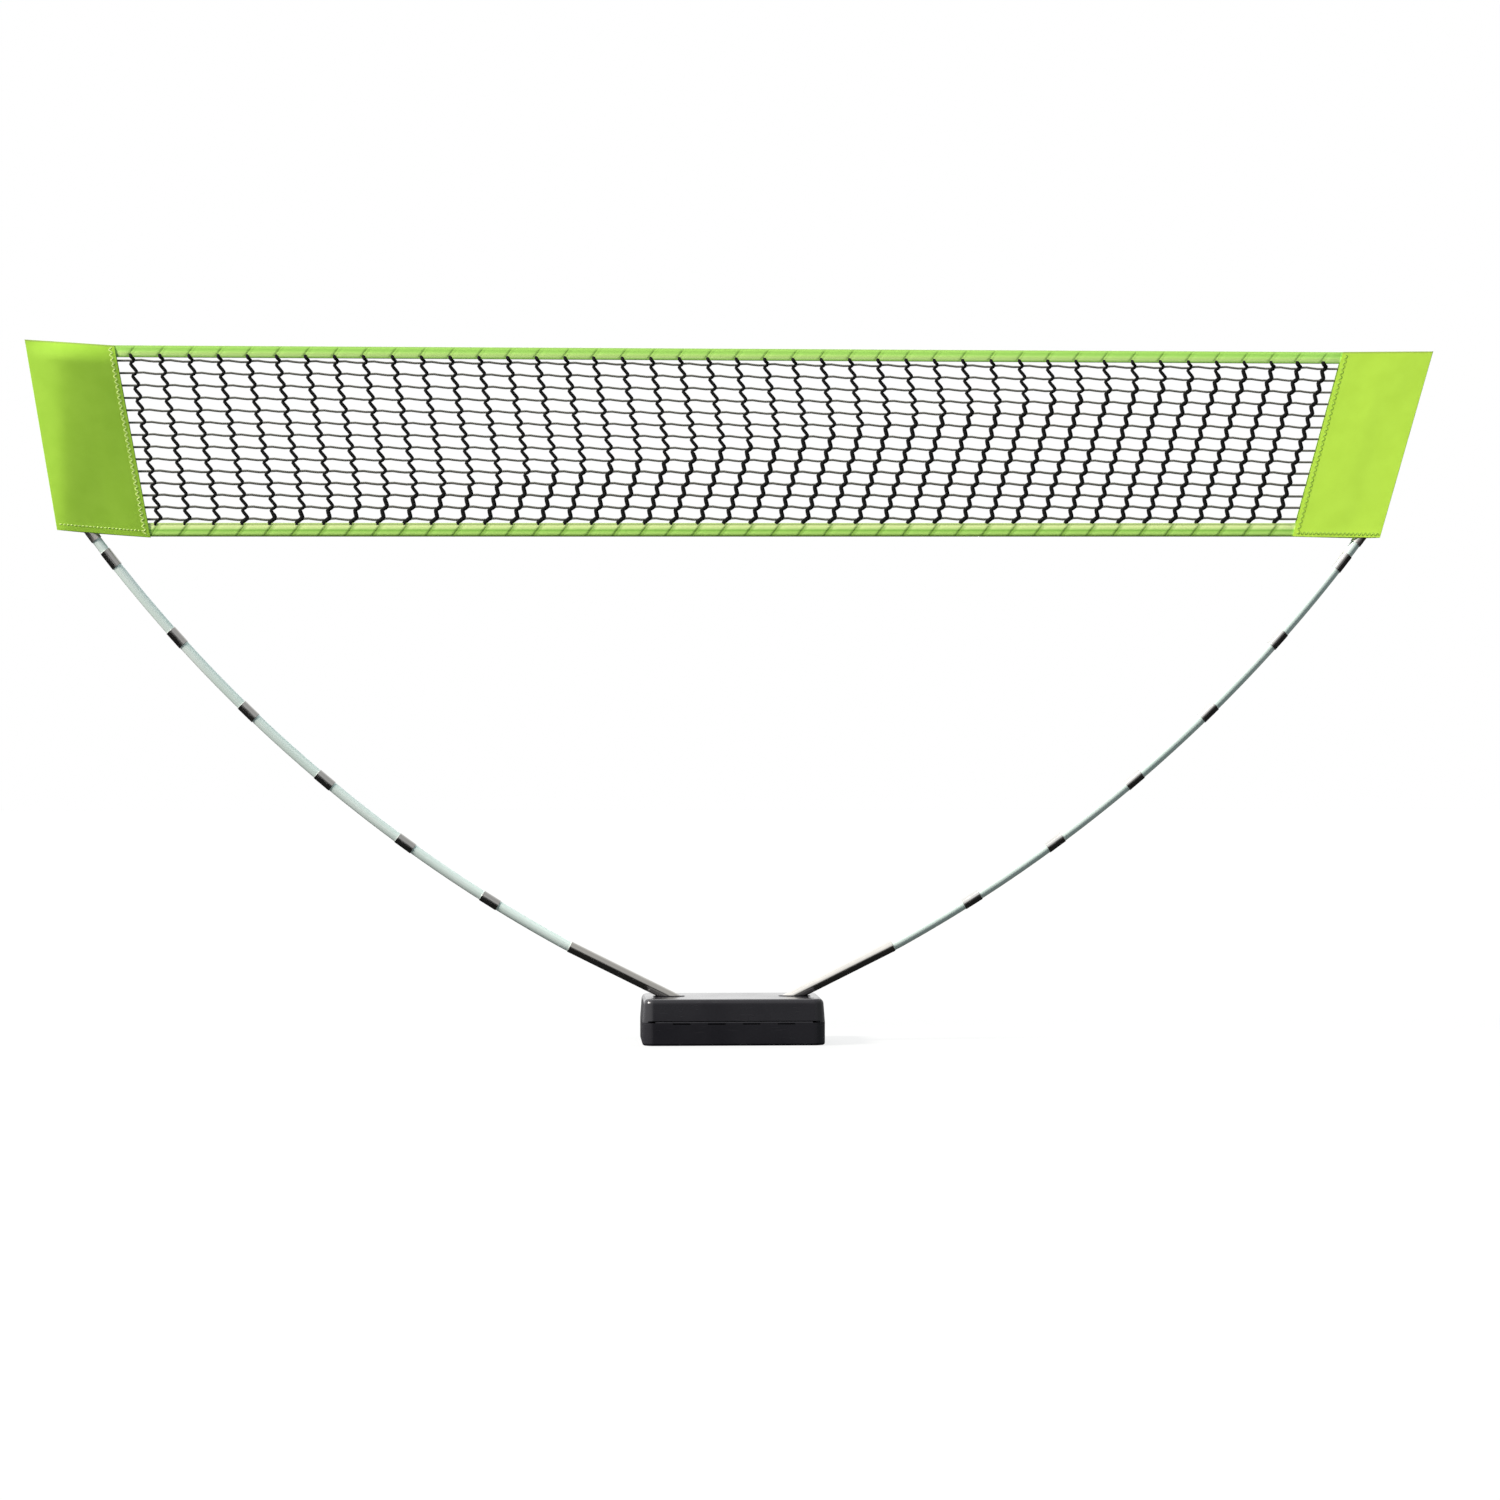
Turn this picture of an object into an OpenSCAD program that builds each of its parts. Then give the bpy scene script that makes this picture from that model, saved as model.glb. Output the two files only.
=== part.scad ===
// Free-standing net for volleyball and badminton. Two bowed, shock-corded poles plug into the lid
// of a storage case that serves as the base, and the net hangs between two cloth sleeves on the poles.
// The right-hand pole is described in the XZ plane, and the left-hand one is its mirror image.

/* [Case] */
// Width of the case
case_w = 384; // [300:1:480]
// Depth of the case, from hinge side to handle side
case_d = 235; // [180:1:300]
// Height of the closed case
case_h = 97; // [85:1:130]
// Height of the lower half
tray_h = 48; // [44:1:60]
// Corner radius of the case in plan
corner_r = 24; // [18:1:40]
// Rounding of the lid's upper edge
lid_edge_r = 10; // [5:0.5:13]
// Rounding of the tray's lower edge
tray_edge_r = 5; // [4:0.5:8]
// How far the lid draws in on each side between the seam and its top
lid_draft = 3; // [0:0.5:4]
// How much rounder the tray's inner edge is than its wall leaves it
inner_soft = 1; // [0.5:0.1:1.5]
// Wall thickness of both halves
wall = 3; // [2.5:0.1:4]
// Gap between the two halves at the seam
seam_gap = 0.4; // [0.2:0.1:1]
// Height of the lid's lip inside the tray
lip_h = 4; // [2:0.5:8]
// Thickness of the lid's lip
lip_t = 1.8; // [1.2:0.1:2.5]

/* [Hinge] */
// Radius of the hinge knuckles
knuckle_r = 3.2; // [3:0.1:3.6]
// Radius of the hinge pin
hinge_pin_r = 1.5; // [1:0.1:1.8]
// Distance of the hinge axis inside the outer face
hinge_inset = 3.4; // [3.2:0.1:3.8]
// Height of the lid's cut-away above the hinge axis
hinge_relief = 4; // [3.8:0.1:5]
// Length of the row of knuckles
hinge_len = 330; // [200:1:330]
// Number of knuckles, an odd count
knuckle_n = 9; // [5:2:13]
// End gap between two knuckles
knuckle_gap = 0.4; // [0.2:0.1:1]
// Depth of the web that joins a knuckle to its half of the case
web_d = 4.4; // [4:0.1:5]
// Height of that web
web_h = 10; // [8:0.5:12]
// How far the web starts outside the hinge axis
web_off = 1.4; // [1:0.1:1.6]
// Play of the lid's cut-away behind the hinge axis
relief_play = 0.2; // [0.1:0.05:0.4]

/* [Latches] */
// Distance of each latch from the middle
latch_x = 115; // [95:1:125]
// Width of a latch
latch_w = 26; // [16:1:30]
// Thickness of a latch plate
latch_t = 3.7; // [2.5:0.1:4]
// Height of the latch pivot above the floor
latch_z = 22; // [12:1:26]
// Height of the catch's upper face above the seam
catch_rise = 12; // [8:0.5:16]
// Radius of the latch barrel
latch_barrel_r = 4.2; // [3.5:0.1:4.5]
// Radius of the latch pins
latch_pin_r = 1.5; // [1:0.1:2]
// Distance of the latch pivot outside the wall
latch_off = 5; // [4.8:0.1:7]

/* [Handle] */
// Distance between the middles of the handle's two arms
handle_w = 104; // [90:1:130]
// Drop from the handle's pivot to the middle of its grip
handle_drop = 27; // [24:0.5:28]
// Height of the handle's pivot above the floor
handle_z = 36; // [35:0.5:39]
// Radius of the handle's arms
arm_r = 4.5; // [3.5:0.1:5]
// Radius of the grip
grip_r = 6.2; // [5:0.1:6.5]
// Length of the thick part of the grip
grip_len = 64; // [40:1:70]
// Radius of the handle's eyes
eye_r = 6; // [5:0.1:6.5]
// Radius of the handle's pins
handle_pin_r = 2; // [1.5:0.1:3]
// Distance of the handle's pivot outside the wall
handle_off = 7.2; // [7:0.1:10]
// Radius of the bends between arms and grip
handle_bend_r = 12; // [8:0.5:14]
// Thickness of the lugs that carry latches and handle
lug_t = 4; // [3:0.1:5]

/* [Sockets] */
// Distance from the middle to where a pole's axis leaves the lid
socket_x = 132; // [120:1:140]
// Length of a socket below the lid's top, along the pole
socket_depth = 90; // [75:1:95]
// Wall of a socket tube
socket_wall = 2.9; // [2:0.1:4]
// Radial play of the pole in its socket
socket_fit = 0.08; // [0.02:0.01:0.1]
// Thickness of the socket's closed end
socket_floor = 3; // [2:0.1:5]
// How far the socket's rim stands above the lid
socket_rim = 1.5; // [0.5:0.1:3]
// Where the clamp holds the socket, measured down from the lid's top along the pole
clamp_at = 50; // [45:1:60]
// Width of the clamp along the socket
clamp_len = 16; // [12:1:24]
// Thickness of the clamp strap
clamp_t = 3; // [2:0.1:4]
// Radius of the clamp screws
screw_r = 1.7; // [1.4:0.1:2]

/* [Poles] */
// Lean of the straight lower tube from the floor
pole_lean = 26.5; // [24:0.5:30]
// Length of the lower tube outside the case
tube_out = 237; // [180:1:300]
// Outer radius of the steel tubes
tube_r = 12; // [11.7:0.05:12.5]
// Wall of the steel tubes
tube_wall = 1.4; // [1.1:0.1:1.6]
// Small bend of the pole just above the lower tube, in degrees
mouth_bend = 2.5; // [1:0.5:4]
// Radius of that small bend
mouth_bend_r = 500; // [300:10:900]
// Radius of the pole's bow
bow_r = 3100; // [2700:10:3600]
// Distance along the bow from its start to the first ferrule
first_run = 173; // [120:1:240]
// Distance along the bow between two ferrules
section_pitch = 216; // [180:1:250]
// Number of ferrules on each pole
ferrule_n = 6; // [6:1:6]
// Distance from the last ferrule to the upper tube
last_run = 50; // [40:1:90]
// Outer radius of the glass-fibre sections
fibre_r = 10.5; // [9:0.05:10.6]
// Radius of the hollow in a fibre section
fibre_bore_r = 7.5; // [5:0.1:8]
// Length of a ferrule
ferrule_len = 41; // [30:1:60]
// Wall of a ferrule
ferrule_wall = 1.2; // [0.8:0.1:2]
// Radial play between a fibre section and a ferrule or tube
fibre_fit = 0.1; // [0.08:0.01:0.2]
// Length of the first section inside the lower tube
spigot_in = 40; // [20:1:80]
// Gap between the ends of two sections
section_gap = 0.2; // [0.1:0.1:1]

/* [Upper tube] */
// Straight length of the upper tube below its bend
elbow_arm = 20; // [18:0.5:26]
// Bend radius of the upper tube
elbow_r = 50; // [40:1:70]
// Lean of the upper tube inside the sleeve, from the floor
rod_lean = 76.7; // [74:0.1:80]
// Length of the last section inside the upper tube
fibre_in = 16; // [12:0.5:17]
// Radius of the rounded tip cap
cap_r = 13; // [12.6:0.1:13.4]
// Length of the straight part of the tip cap's head
cap_head = 5; // [3:0.5:8]
// Length of the plugs' spigots inside the tubes
plug_in = 14; // [10:1:20]

/* [Shock cord] */
// Radius of the elastic cord inside each pole
cord_r = 2; // [1.5:0.1:2.5]
// Radial play of the cord in the plugs
cord_fit = 0.2; // [0.1:0.05:0.5]
// Radius of the stopper at the cord's lower end
stopper_r = 4; // [3.5:0.1:5]
// Length of the stopper
stopper_len = 5; // [3:0.5:6]

/* [Net] */
// Height of the net with its tapes
net_h = 400; // [300:5:500]
// How far the upper tube shows below the sleeve
mouth_show = 12; // [8:0.5:14]
// Height of the top tape
top_tape_h = 28; // [20:1:50]
// Height of the bottom tape
low_tape_h = 30; // [20:1:50]
// Thickness of a folded tape
tape_t = 6.2; // [5.5:0.1:10]
// Thickness of the net's cords
net_t = 3; // [1.5:0.1:3]
// Play of the net in the fold of a tape
tape_fit = 0.4; // [0.3:0.05:0.6]
// Height of a tape's closed fold
tape_fold = 6; // [3:0.5:10]
// Width of an upright cord
upright_w = 5; // [3:0.1:8]
// Width of a level cord
level_w = 3; // [2:0.1:6]
// Number of upright cords
upright_n = 31; // [16:1:31]
// Number of rows of openings
row_n = 9; // [5:1:9]
// Distance of the outermost cords from the seams at the top
end_gap = 30; // [20:1:60]
// Sideways lean of a cord above the place where it kinks, per unit of drop
lean_above = 0.165; // [0:0.005:0.17]
// Sideways lean of a cord below its kink, per unit of drop, the other way
lean_below = 0.25; // [0:0.005:0.25]
// Width of the net's border beside the seams
border_w = 6; // [4:0.5:10]

/* [Sleeves] */
// Width of a sleeve along its lower edge
sleeve_low_w = 182; // [150:1:200]
// Width of a sleeve along its upper edge
sleeve_top_w = 201; // [170:1:240]
// How much the sleeve's outer corners stand above its inner ones
corner_rise = 7; // [0:1:20]
// Distance from the rod's axis to the sleeve's outer edge
edge_margin = 48; // [44:1:60]
// Thickness of the flat part, two layers of cloth
sheet_t = 3; // [2:0.1:4]
// Half thickness of the pocket at the rod
pocket_r = 15.5; // [15.2:0.1:18]
// Half width of the pocket across the rod
pocket_w = 43; // [36:1:43.5]
// Thickness of the cloth around the pocket
cloth_t = 1.4; // [0.8:0.1:1.6]
// Height of the sewn hem
hem_h = 12; // [8:0.5:20]
// Extra thickness of the hem on each side
hem_t = 0.6; // [0.3:0.1:1]
// Closed part at the sleeve's top, where the two layers come together above the tip cap
closure = 22; // [16:0.5:30]
// Gap between a sleeve and the tapes or the net
sewn_gap = 0.3; // [0.2:0.05:0.5]

/* [Hidden] */
$fn = 48;
SIDES = ["left", "right"];
BLACK = [0.15, 0.145, 0.165];
STEEL = [0.72, 0.73, 0.74];
MINT = [0.80, 0.86, 0.83];
LIME = [0.72, 0.89, 0.28];
TAPE_GREEN = [0.66, 0.86, 0.43];
// Clearance between parts of one body and between closed parts
touch = 0.3;
over = 1;
// Play of a pin where it is held, and where something turns on it
pin_fit = 0.02;
turn_fit = 0.05;
// A bend is thicker than the runs that it joins by this much
step = 0.05;

// The whole stands centred over its own box, so the pole plane lies a little toward the hinge side
back_out = handle_off + grip_r;
plane_y = -back_out / 2;
half_w = case_w / 2;
half_d = case_d / 2;

// Points and directions in the XZ plane
function dir(a) = [cos(a), sin(a)];
function bend_end(p, r, a1, a2) = p + r * [sin(a2) - sin(a1), cos(a1) - cos(a2)];
function mix(a, b, t) = a + (b - a) * t;

// The pole's path: lower tube, small bend, bow, elbow, rod
exit_point = [socket_x, case_h];
tube_bottom = exit_point - (socket_depth - socket_floor - touch) * dir(pole_lean);
tube_end = exit_point + tube_out * dir(pole_lean);
bow_lean = pole_lean + mouth_bend;
bow_start = bend_end(tube_end, mouth_bend_r, pole_lean, bow_lean);
function bow_angle(s) = bow_lean + s / bow_r * 180 / PI;
function bow_point(s) = bend_end(bow_start, bow_r, bow_lean, bow_angle(s));
function joint_s(k) = first_run + (k - 1) * section_pitch;
bow_len = joint_s(ferrule_n) + last_run;
elbow_low = bow_point(bow_len);
elbow_lean = bow_angle(bow_len);
elbow_start = elbow_low + elbow_arm * dir(elbow_lean);
rod_start = bend_end(elbow_start, elbow_r, elbow_lean, rod_lean);
function rod_x(z) = rod_start[0] + (z - rod_start[1]) / tan(rod_lean);

// Heights and corners of the net and the sleeves
net_low = elbow_low[1] + mouth_show;
net_top = net_low + net_h;
function edge_x(z) = rod_x(z) + edge_margin / sin(rod_lean);
outer_low = [edge_x(net_low + corner_rise), net_low + corner_rise];
outer_top = [edge_x(net_top + corner_rise), net_top + corner_rise];
inner_low = [outer_low[0] - sleeve_low_w, net_low];
inner_top = [outer_top[0] - sleeve_top_w, net_top];
function seam_x(z) = mix(inner_low[0], inner_top[0], (z - net_low) / net_h);

// The tip cap's dome ends just below the sleeve's closed top
top_slope = corner_rise / sleeve_top_w;
dome_z = net_top + top_slope * (rod_x(net_top) - inner_top[0]) - closure - touch - cap_r;
rod_len = (dome_z - rod_start[1]) / sin(rod_lean) - cap_head;

// Radii of the fits
tube_bore_r = tube_r - tube_wall;
ferrule_bore_r = fibre_r + fibre_fit;
ferrule_r = ferrule_bore_r + ferrule_wall;
socket_bore_r = tube_r + socket_fit;
socket_r = socket_bore_r + socket_wall;
plug_r = tube_bore_r - fibre_fit;
cord_bore_r = cord_r + cord_fit;
plug_flange = stopper_len + 3;

// Hinge, latch and handle axes
hinge_y = -half_d + hinge_inset;
knuckle_len = hinge_len / knuckle_n;
latch_y = half_d + latch_off;
handle_y = half_d + handle_off;
lid_h = case_h - tray_h - seam_gap;
catch_top = tray_h + catch_rise;

// Clamp
ear_y = socket_r + 8;
ear_r = 5.5;
boss_r = 5;
head_r = 3.4;
head_h = 2.4;
screw_in = 12;

// ---- shared shapes ----

// Places its children on the left or the right half
module on_side(side) {
    translate([0, plane_y, 0])
        if (side == "right") children();
        else mirror([1, 0, 0]) children();
}

// Puts the local Z axis at point p of the XZ plane, along the direction a; local X then points down and out
module along(p, a) {
    translate([p[0], 0, p[1]])
        rotate([0, 90 - a, 0])
            children();
}

module ring(ro, ri) {
    difference() {
        circle(ro);
        if (ri > 0) circle(ri);
    }
}

module pipe_run(p, a, length, ro, ri) {
    along(p, a)
        linear_extrude(length)
            ring(ro, ri);
}

// A pipe bent with radius r from direction a1 to a2, starting at p
module pipe_bend(p, r, a1, a2, ro, ri) {
    centre = p + r * [-sin(a1), cos(a1)];
    translate([centre[0], 0, centre[1]])
        rotate([90, 0, 0])
            rotate([0, 0, a1 - 90])
                rotate_extrude(angle = a2 - a1, $fn = 1440)
                    translate([r, 0])
                        ring(ro, ri, $fn = 48);
}

module pipe_bow(s1, s2, ro, ri) {
    pipe_bend(bow_point(s1), bow_r, bow_angle(s1), bow_angle(s2), ro, ri);
}

// A straight tube with both ends chamfered outside
module chamfered_tube(length, ro, ri, c) {
    rotate_extrude()
        polygon([
            [ri, 0], [ro - c, 0], [ro, c],
            [ro, length - c], [ro - c, length], [ri, length]
        ]);
}

// Profile of one case corner: a drawn-in wall with a rounded upper edge
function corner_profile(r, h, draft, e) = concat(
    [[0, 0], [r, 0]],
    [for (a = [0:15:90]) [r - draft - e + e * cos(a), h - e + e * sin(a)]],
    [[0, h]]
);

module case_form(inset, h, draft, e) {
    r = corner_r - inset;
    hull()
        for (sx = [-1, 1], sy = [-1, 1])
            translate([sx * (half_w - corner_r), sy * (half_d - corner_r), 0])
                rotate_extrude()
                    polygon(corner_profile(r, h, draft, e));
}

module rounded_plate(w, d, r, h) {
    linear_extrude(h)
        union() {
            square([w - 2 * r, d], center = true);
            square([w, d - 2 * r], center = true);
            for (sx = [-1, 1], sy = [-1, 1])
                translate([sx * (w / 2 - r), sy * (d / 2 - r)])
                    circle(r);
        }
}

module cross_bar(x, y, z, length, r) {
    translate([x - length / 2, y, z])
        rotate([0, 90, 0])
            cylinder(h = length, r = r);
}

// A lug that stands out of the rear wall and carries a pin
module lug(x, y, z, r) {
    cross_bar(x, y, z, lug_t, r);
    translate([x - lug_t / 2, half_d - over, z - r])
        cube([lug_t, y - half_d + over, 2 * r]);
}

// ---- case ----

// Every second knuckle belongs to the tray, and the others to the lid
module knuckles(first, web_z) {
    for (k = [first:2:knuckle_n - 1]) {
        x = -hinge_len / 2 + (k + 0.5) * knuckle_len;
        cross_bar(x, hinge_y, tray_h, knuckle_len - knuckle_gap, knuckle_r);
        translate([x - (knuckle_len - knuckle_gap) / 2, hinge_y - web_off, tray_h + web_z])
            cube([knuckle_len - knuckle_gap, web_d, web_h]);
    }
}

module knuckle_notches() {
    for (k = [1:2:knuckle_n - 1])
        translate([-hinge_len / 2 + k * knuckle_len, -half_d - over, tray_h - knuckle_r - touch])
            cube([knuckle_len, hinge_inset + knuckle_r + touch + over, knuckle_r + touch + over]);
}

module latch_lugs() {
    for (sx = [-1, 1], end = [-1, 1])
        lug(sx * latch_x + end * (latch_w / 2 + knuckle_gap + lug_t / 2), latch_y, latch_z,
            latch_barrel_r);
}

module handle_lugs() {
    for (sx = [-1, 1], end = [-1, 1])
        lug(sx * handle_w / 2 + end * (arm_r + knuckle_gap + lug_t / 2), handle_y, handle_z, eye_r);
}

module case_tray() {
    color(BLACK)
    translate([0, plane_y, 0])
    difference() {
        union() {
            difference() {
                translate([0, 0, tray_h])
                    mirror([0, 0, 1])
                        case_form(0, tray_h, 0, tray_edge_r);
                translate([0, 0, tray_h + over])
                    mirror([0, 0, 1])
                        case_form(wall, tray_h - wall + over, 0, tray_edge_r - wall + inner_soft);
                knuckle_notches();
            }
            knuckles(0, -web_h);
            latch_lugs();
            handle_lugs();
        }
        cross_bar(0, hinge_y, tray_h, case_w, hinge_pin_r + turn_fit);
        for (sx = [-1, 1])
            cross_bar(sx * latch_x, latch_y, latch_z, latch_w + 4 * lug_t, latch_pin_r + pin_fit);
        for (sx = [-1, 1])
            cross_bar(sx * handle_w / 2, handle_y, handle_z, 8 * lug_t, handle_pin_r + pin_fit);
    }
}

// The lip runs inside the tray's wall on three sides and leaves the hinge side free
module lid_lip() {
    lip_in = wall + touch;
    lip_w = case_w - 2 * lip_in;
    lip_d = case_d - 2 * lip_in;
    difference() {
        translate([0, 0, tray_h - lip_h])
            rounded_plate(lip_w, lip_d, corner_r - lip_in, lip_h + seam_gap + wall);
        translate([0, 0, tray_h - lip_h - over])
            rounded_plate(lip_w - 2 * lip_t, lip_d - 2 * lip_t, corner_r - lip_in - lip_t, case_h);
        translate([-half_w, -half_d - over, 0])
            cube([case_w, corner_r + over, case_h]);
    }
}

module catches() {
    catch_w = latch_w - 6;
    catch_out = latch_off - latch_t / 3;
    for (sx = [-1, 1])
        translate([sx * latch_x - catch_w / 2, half_d - wall, catch_top - 4])
            cube([catch_w, wall + catch_out - touch, 4]);
}

// Screw bosses that hang from the lid's top beside each socket, square to the socket
module clamp_bosses() {
    intersection() {
        for (side = [-1, 1], sy = [-1, 1])
            facing(side)
                along(exit_point - clamp_at * dir(pole_lean), pole_lean)
                    translate([0, sy * ear_y, 0])
                        rotate([0, -90, 0])
                            cylinder(h = case_h, r = boss_r);
        translate([-half_w, -half_d, 0])
            cube([case_w, case_d, case_h - wall / 2]);
    }
}

// What it draws lies on the right, or mirrored on the left where side is below 0
module facing(side) {
    if (side > 0) children();
    else mirror([1, 0, 0]) children();
}

module case_lid() {
    color(BLACK)
    translate([0, plane_y, 0])
    difference() {
        union() {
            difference() {
                translate([0, 0, tray_h + seam_gap])
                    case_form(0, lid_h, lid_draft, lid_edge_r);
                translate([0, 0, tray_h + seam_gap - over])
                    case_form(wall, lid_h - wall + over, lid_draft, lid_edge_r - wall);
                translate([-half_w, -half_d - over, 0])
                    cube([case_w, over + hinge_inset + relief_play, tray_h + hinge_relief]);
            }
            lid_lip();
            knuckles(1, 0);
            catches();
            clamp_bosses();
        }
        cross_bar(0, hinge_y, tray_h, case_w, hinge_pin_r + turn_fit);
        for (side = [-1, 1])
            facing(side) {
                along(exit_point - socket_depth * dir(pole_lean), pole_lean)
                    cylinder(h = socket_depth + 3 * socket_r, r = socket_r + 0.1);
                for (sy = [-1, 1])
                    along(exit_point - clamp_at * dir(pole_lean), pole_lean)
                        translate([over, sy * ear_y, 0])
                            rotate([0, -90, 0])
                                cylinder(h = screw_in + 2 * over, r = screw_r + pin_fit);
            }
    }
}

module hinge_pin() {
    color(STEEL)
    translate([0, plane_y, 0])
        cross_bar(0, hinge_y, tray_h, hinge_len - knuckle_gap, hinge_pin_r);
}

module latch_pins() {
    color(STEEL)
    translate([0, plane_y, 0])
        for (sx = [-1, 1])
            cross_bar(sx * latch_x, latch_y, latch_z, latch_w + 2 * (knuckle_gap + lug_t), latch_pin_r);
}

module handle_pins() {
    color(STEEL)
    translate([0, plane_y, 0])
        for (sx = [-1, 1])
            cross_bar(sx * handle_w / 2, handle_y, handle_z, 2 * (arm_r + knuckle_gap + lug_t), handle_pin_r);
}

// An over-centre latch: barrel, plate, hook over the catch, and a finger lip
module latch(side) {
    plate_in = -latch_t / 3;
    hook_z = catch_top + touch;
    hook_h = 3.7;
    color(BLACK)
    on_side(side)
    translate([latch_x, latch_y, 0])
    difference() {
        union() {
            cross_bar(0, 0, latch_z, latch_w, latch_barrel_r);
            translate([-latch_w / 2, plate_in, latch_z])
                cube([latch_w, latch_t, hook_z + hook_h - latch_z]);
            translate([-latch_w / 2, -latch_off + 0.6, hook_z])
                cube([latch_w, latch_off - 0.6, hook_h]);
            translate([-latch_w / 2, 0, hook_z + hook_h - 2.4])
                cube([latch_w, latch_t + 3, 2.4]);
        }
        cross_bar(0, 0, latch_z, latch_w + 2 * over, latch_pin_r + turn_fit);
    }
}

module carry_handle() {
    color(BLACK)
    translate([0, plane_y + handle_y, handle_z])
    difference() {
        union() {
            for (side = [-1, 1])
                facing(side) {
                    cross_bar(handle_w / 2, 0, 0, 2 * arm_r, eye_r);
                    translate([handle_w / 2, 0, -handle_drop + handle_bend_r])
                        cylinder(h = handle_drop - handle_bend_r, r = arm_r);
                    translate([handle_w / 2 - handle_bend_r, 0, -handle_drop + handle_bend_r])
                        rotate([90, 0, 0])
                            rotate([0, 0, -90])
                                rotate_extrude(angle = 90)
                                    translate([handle_bend_r, 0])
                                        circle(arm_r);
                }
            cross_bar(0, 0, -handle_drop, handle_w - 2 * handle_bend_r, arm_r);
            cross_bar(0, 0, -handle_drop, grip_len, grip_r);
        }
        for (side = [-1, 1])
            cross_bar(side * handle_w / 2, 0, 0, 4 * arm_r, handle_pin_r + turn_fit);
    }
}

// ---- sockets ----

module socket(side) {
    color(BLACK)
    on_side(side)
    difference() {
        intersection() {
            along(exit_point - socket_depth * dir(pole_lean), pole_lean)
                cylinder(h = socket_depth + 3 * socket_r, r = socket_r);
            translate([-half_w, -half_d, 0])
                cube([case_w, case_d, case_h + socket_rim]);
        }
        along(exit_point - (socket_depth - socket_floor) * dir(pole_lean), pole_lean)
            cylinder(h = socket_depth + 4 * socket_r, r = socket_bore_r);
    }
}

// A strap under the socket with two ears, screwed up into the lid's bosses
module socket_clamp(side) {
    strap_in = socket_r + 0.1;
    color(BLACK)
    on_side(side)
    along(exit_point - (clamp_at + clamp_len / 2) * dir(pole_lean), pole_lean)
    difference() {
        union() {
            cylinder(h = clamp_len, r = strap_in + clamp_t);
            translate([touch, -ear_y - ear_r, 0])
                cube([clamp_t, 2 * (ear_y + ear_r), clamp_len]);
        }
        translate([0, 0, -over])
            cylinder(h = clamp_len + 2 * over, r = strap_in);
        translate([-2 * socket_r, -2 * socket_r, -over])
            cube([2 * socket_r + touch, 4 * socket_r, clamp_len + 2 * over]);
        for (sy = [-1, 1])
            translate([-over, sy * ear_y, clamp_len / 2])
                rotate([0, 90, 0])
                    cylinder(h = clamp_t + 2 * over + touch, r = screw_r + 0.3);
    }
}

module clamp_screws() {
    color(STEEL)
    for (side = SIDES)
        on_side(side)
            along(exit_point - clamp_at * dir(pole_lean), pole_lean)
                for (sy = [-1, 1])
                    translate([0, sy * ear_y, 0])
                        rotate([0, 90, 0]) {
                            translate([0, 0, -screw_in])
                                cylinder(h = screw_in + touch + clamp_t + head_h, r = screw_r);
                            translate([0, 0, touch + clamp_t])
                                cylinder(h = head_h, r = head_r);
                        }
}

// ---- poles ----

module lower_tube(side) {
    color(STEEL)
    on_side(side)
        along(tube_bottom + plug_flange * dir(pole_lean), pole_lean)
            chamfered_tube(norm(tube_end - tube_bottom) - plug_flange, tube_r, tube_bore_r, 0.5);
}

// Closes the lower tube and holds the cord's stopper in a recess
module end_plug(side) {
    color(BLACK)
    on_side(side)
        along(tube_bottom, pole_lean)
            rotate_extrude()
                difference() {
                    union() {
                        square([tube_r - 0.2, plug_flange]);
                        square([plug_r, plug_flange + plug_in]);
                    }
                    square([cord_bore_r, 3 * plug_in]);
                    square([stopper_r + touch, stopper_len + touch]);
                }
}

module fibre_section(side, k) {
    half_gap = section_gap / 2;
    s1 = k == 1 ? 0 : joint_s(k - 1) + half_gap;
    s2 = k > ferrule_n ? bow_len + fibre_in : joint_s(k) - half_gap;
    color(MINT)
    on_side(side) {
        pipe_bow(k == 1 ? -over : s1, s2, fibre_r, fibre_bore_r);
        if (k == 1) {
            pipe_bend(tube_end, mouth_bend_r, pole_lean, bow_lean, fibre_r + step, fibre_bore_r - step);
            pipe_run(tube_end - spigot_in * dir(pole_lean), pole_lean, spigot_in + over, fibre_r, fibre_bore_r);
        }
    }
}

module ferrule(side, k) {
    s = joint_s(k);
    color(STEEL)
    on_side(side)
        along(bow_point(s) - ferrule_len / 2 * dir(bow_angle(s)), bow_angle(s))
            chamfered_tube(ferrule_len, ferrule_r, ferrule_bore_r, 0.4);
}

module upper_tube(side) {
    color(STEEL)
    on_side(side) {
        pipe_run(elbow_low, elbow_lean, elbow_arm + over, tube_r, tube_bore_r);
        pipe_bend(elbow_start, elbow_r, elbow_lean, rod_lean, tube_r + step, tube_bore_r - step);
        pipe_run(rod_start - over * dir(rod_lean), rod_lean, rod_len + over, tube_r, tube_bore_r);
    }
}

module tip_cap(side) {
    color(BLACK)
    on_side(side)
        along(rod_start + rod_len * dir(rod_lean), rod_lean)
            rotate_extrude()
                difference() {
                    union() {
                        translate([0, cap_head])
                            intersection() {
                                circle(cap_r);
                                square(cap_r);
                            }
                        square([cap_r, cap_head]);
                        translate([0, -plug_in])
                            square([plug_r, plug_in]);
                    }
                    translate([0, -plug_in])
                        square([cord_bore_r, plug_in]);
                }
}

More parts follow.
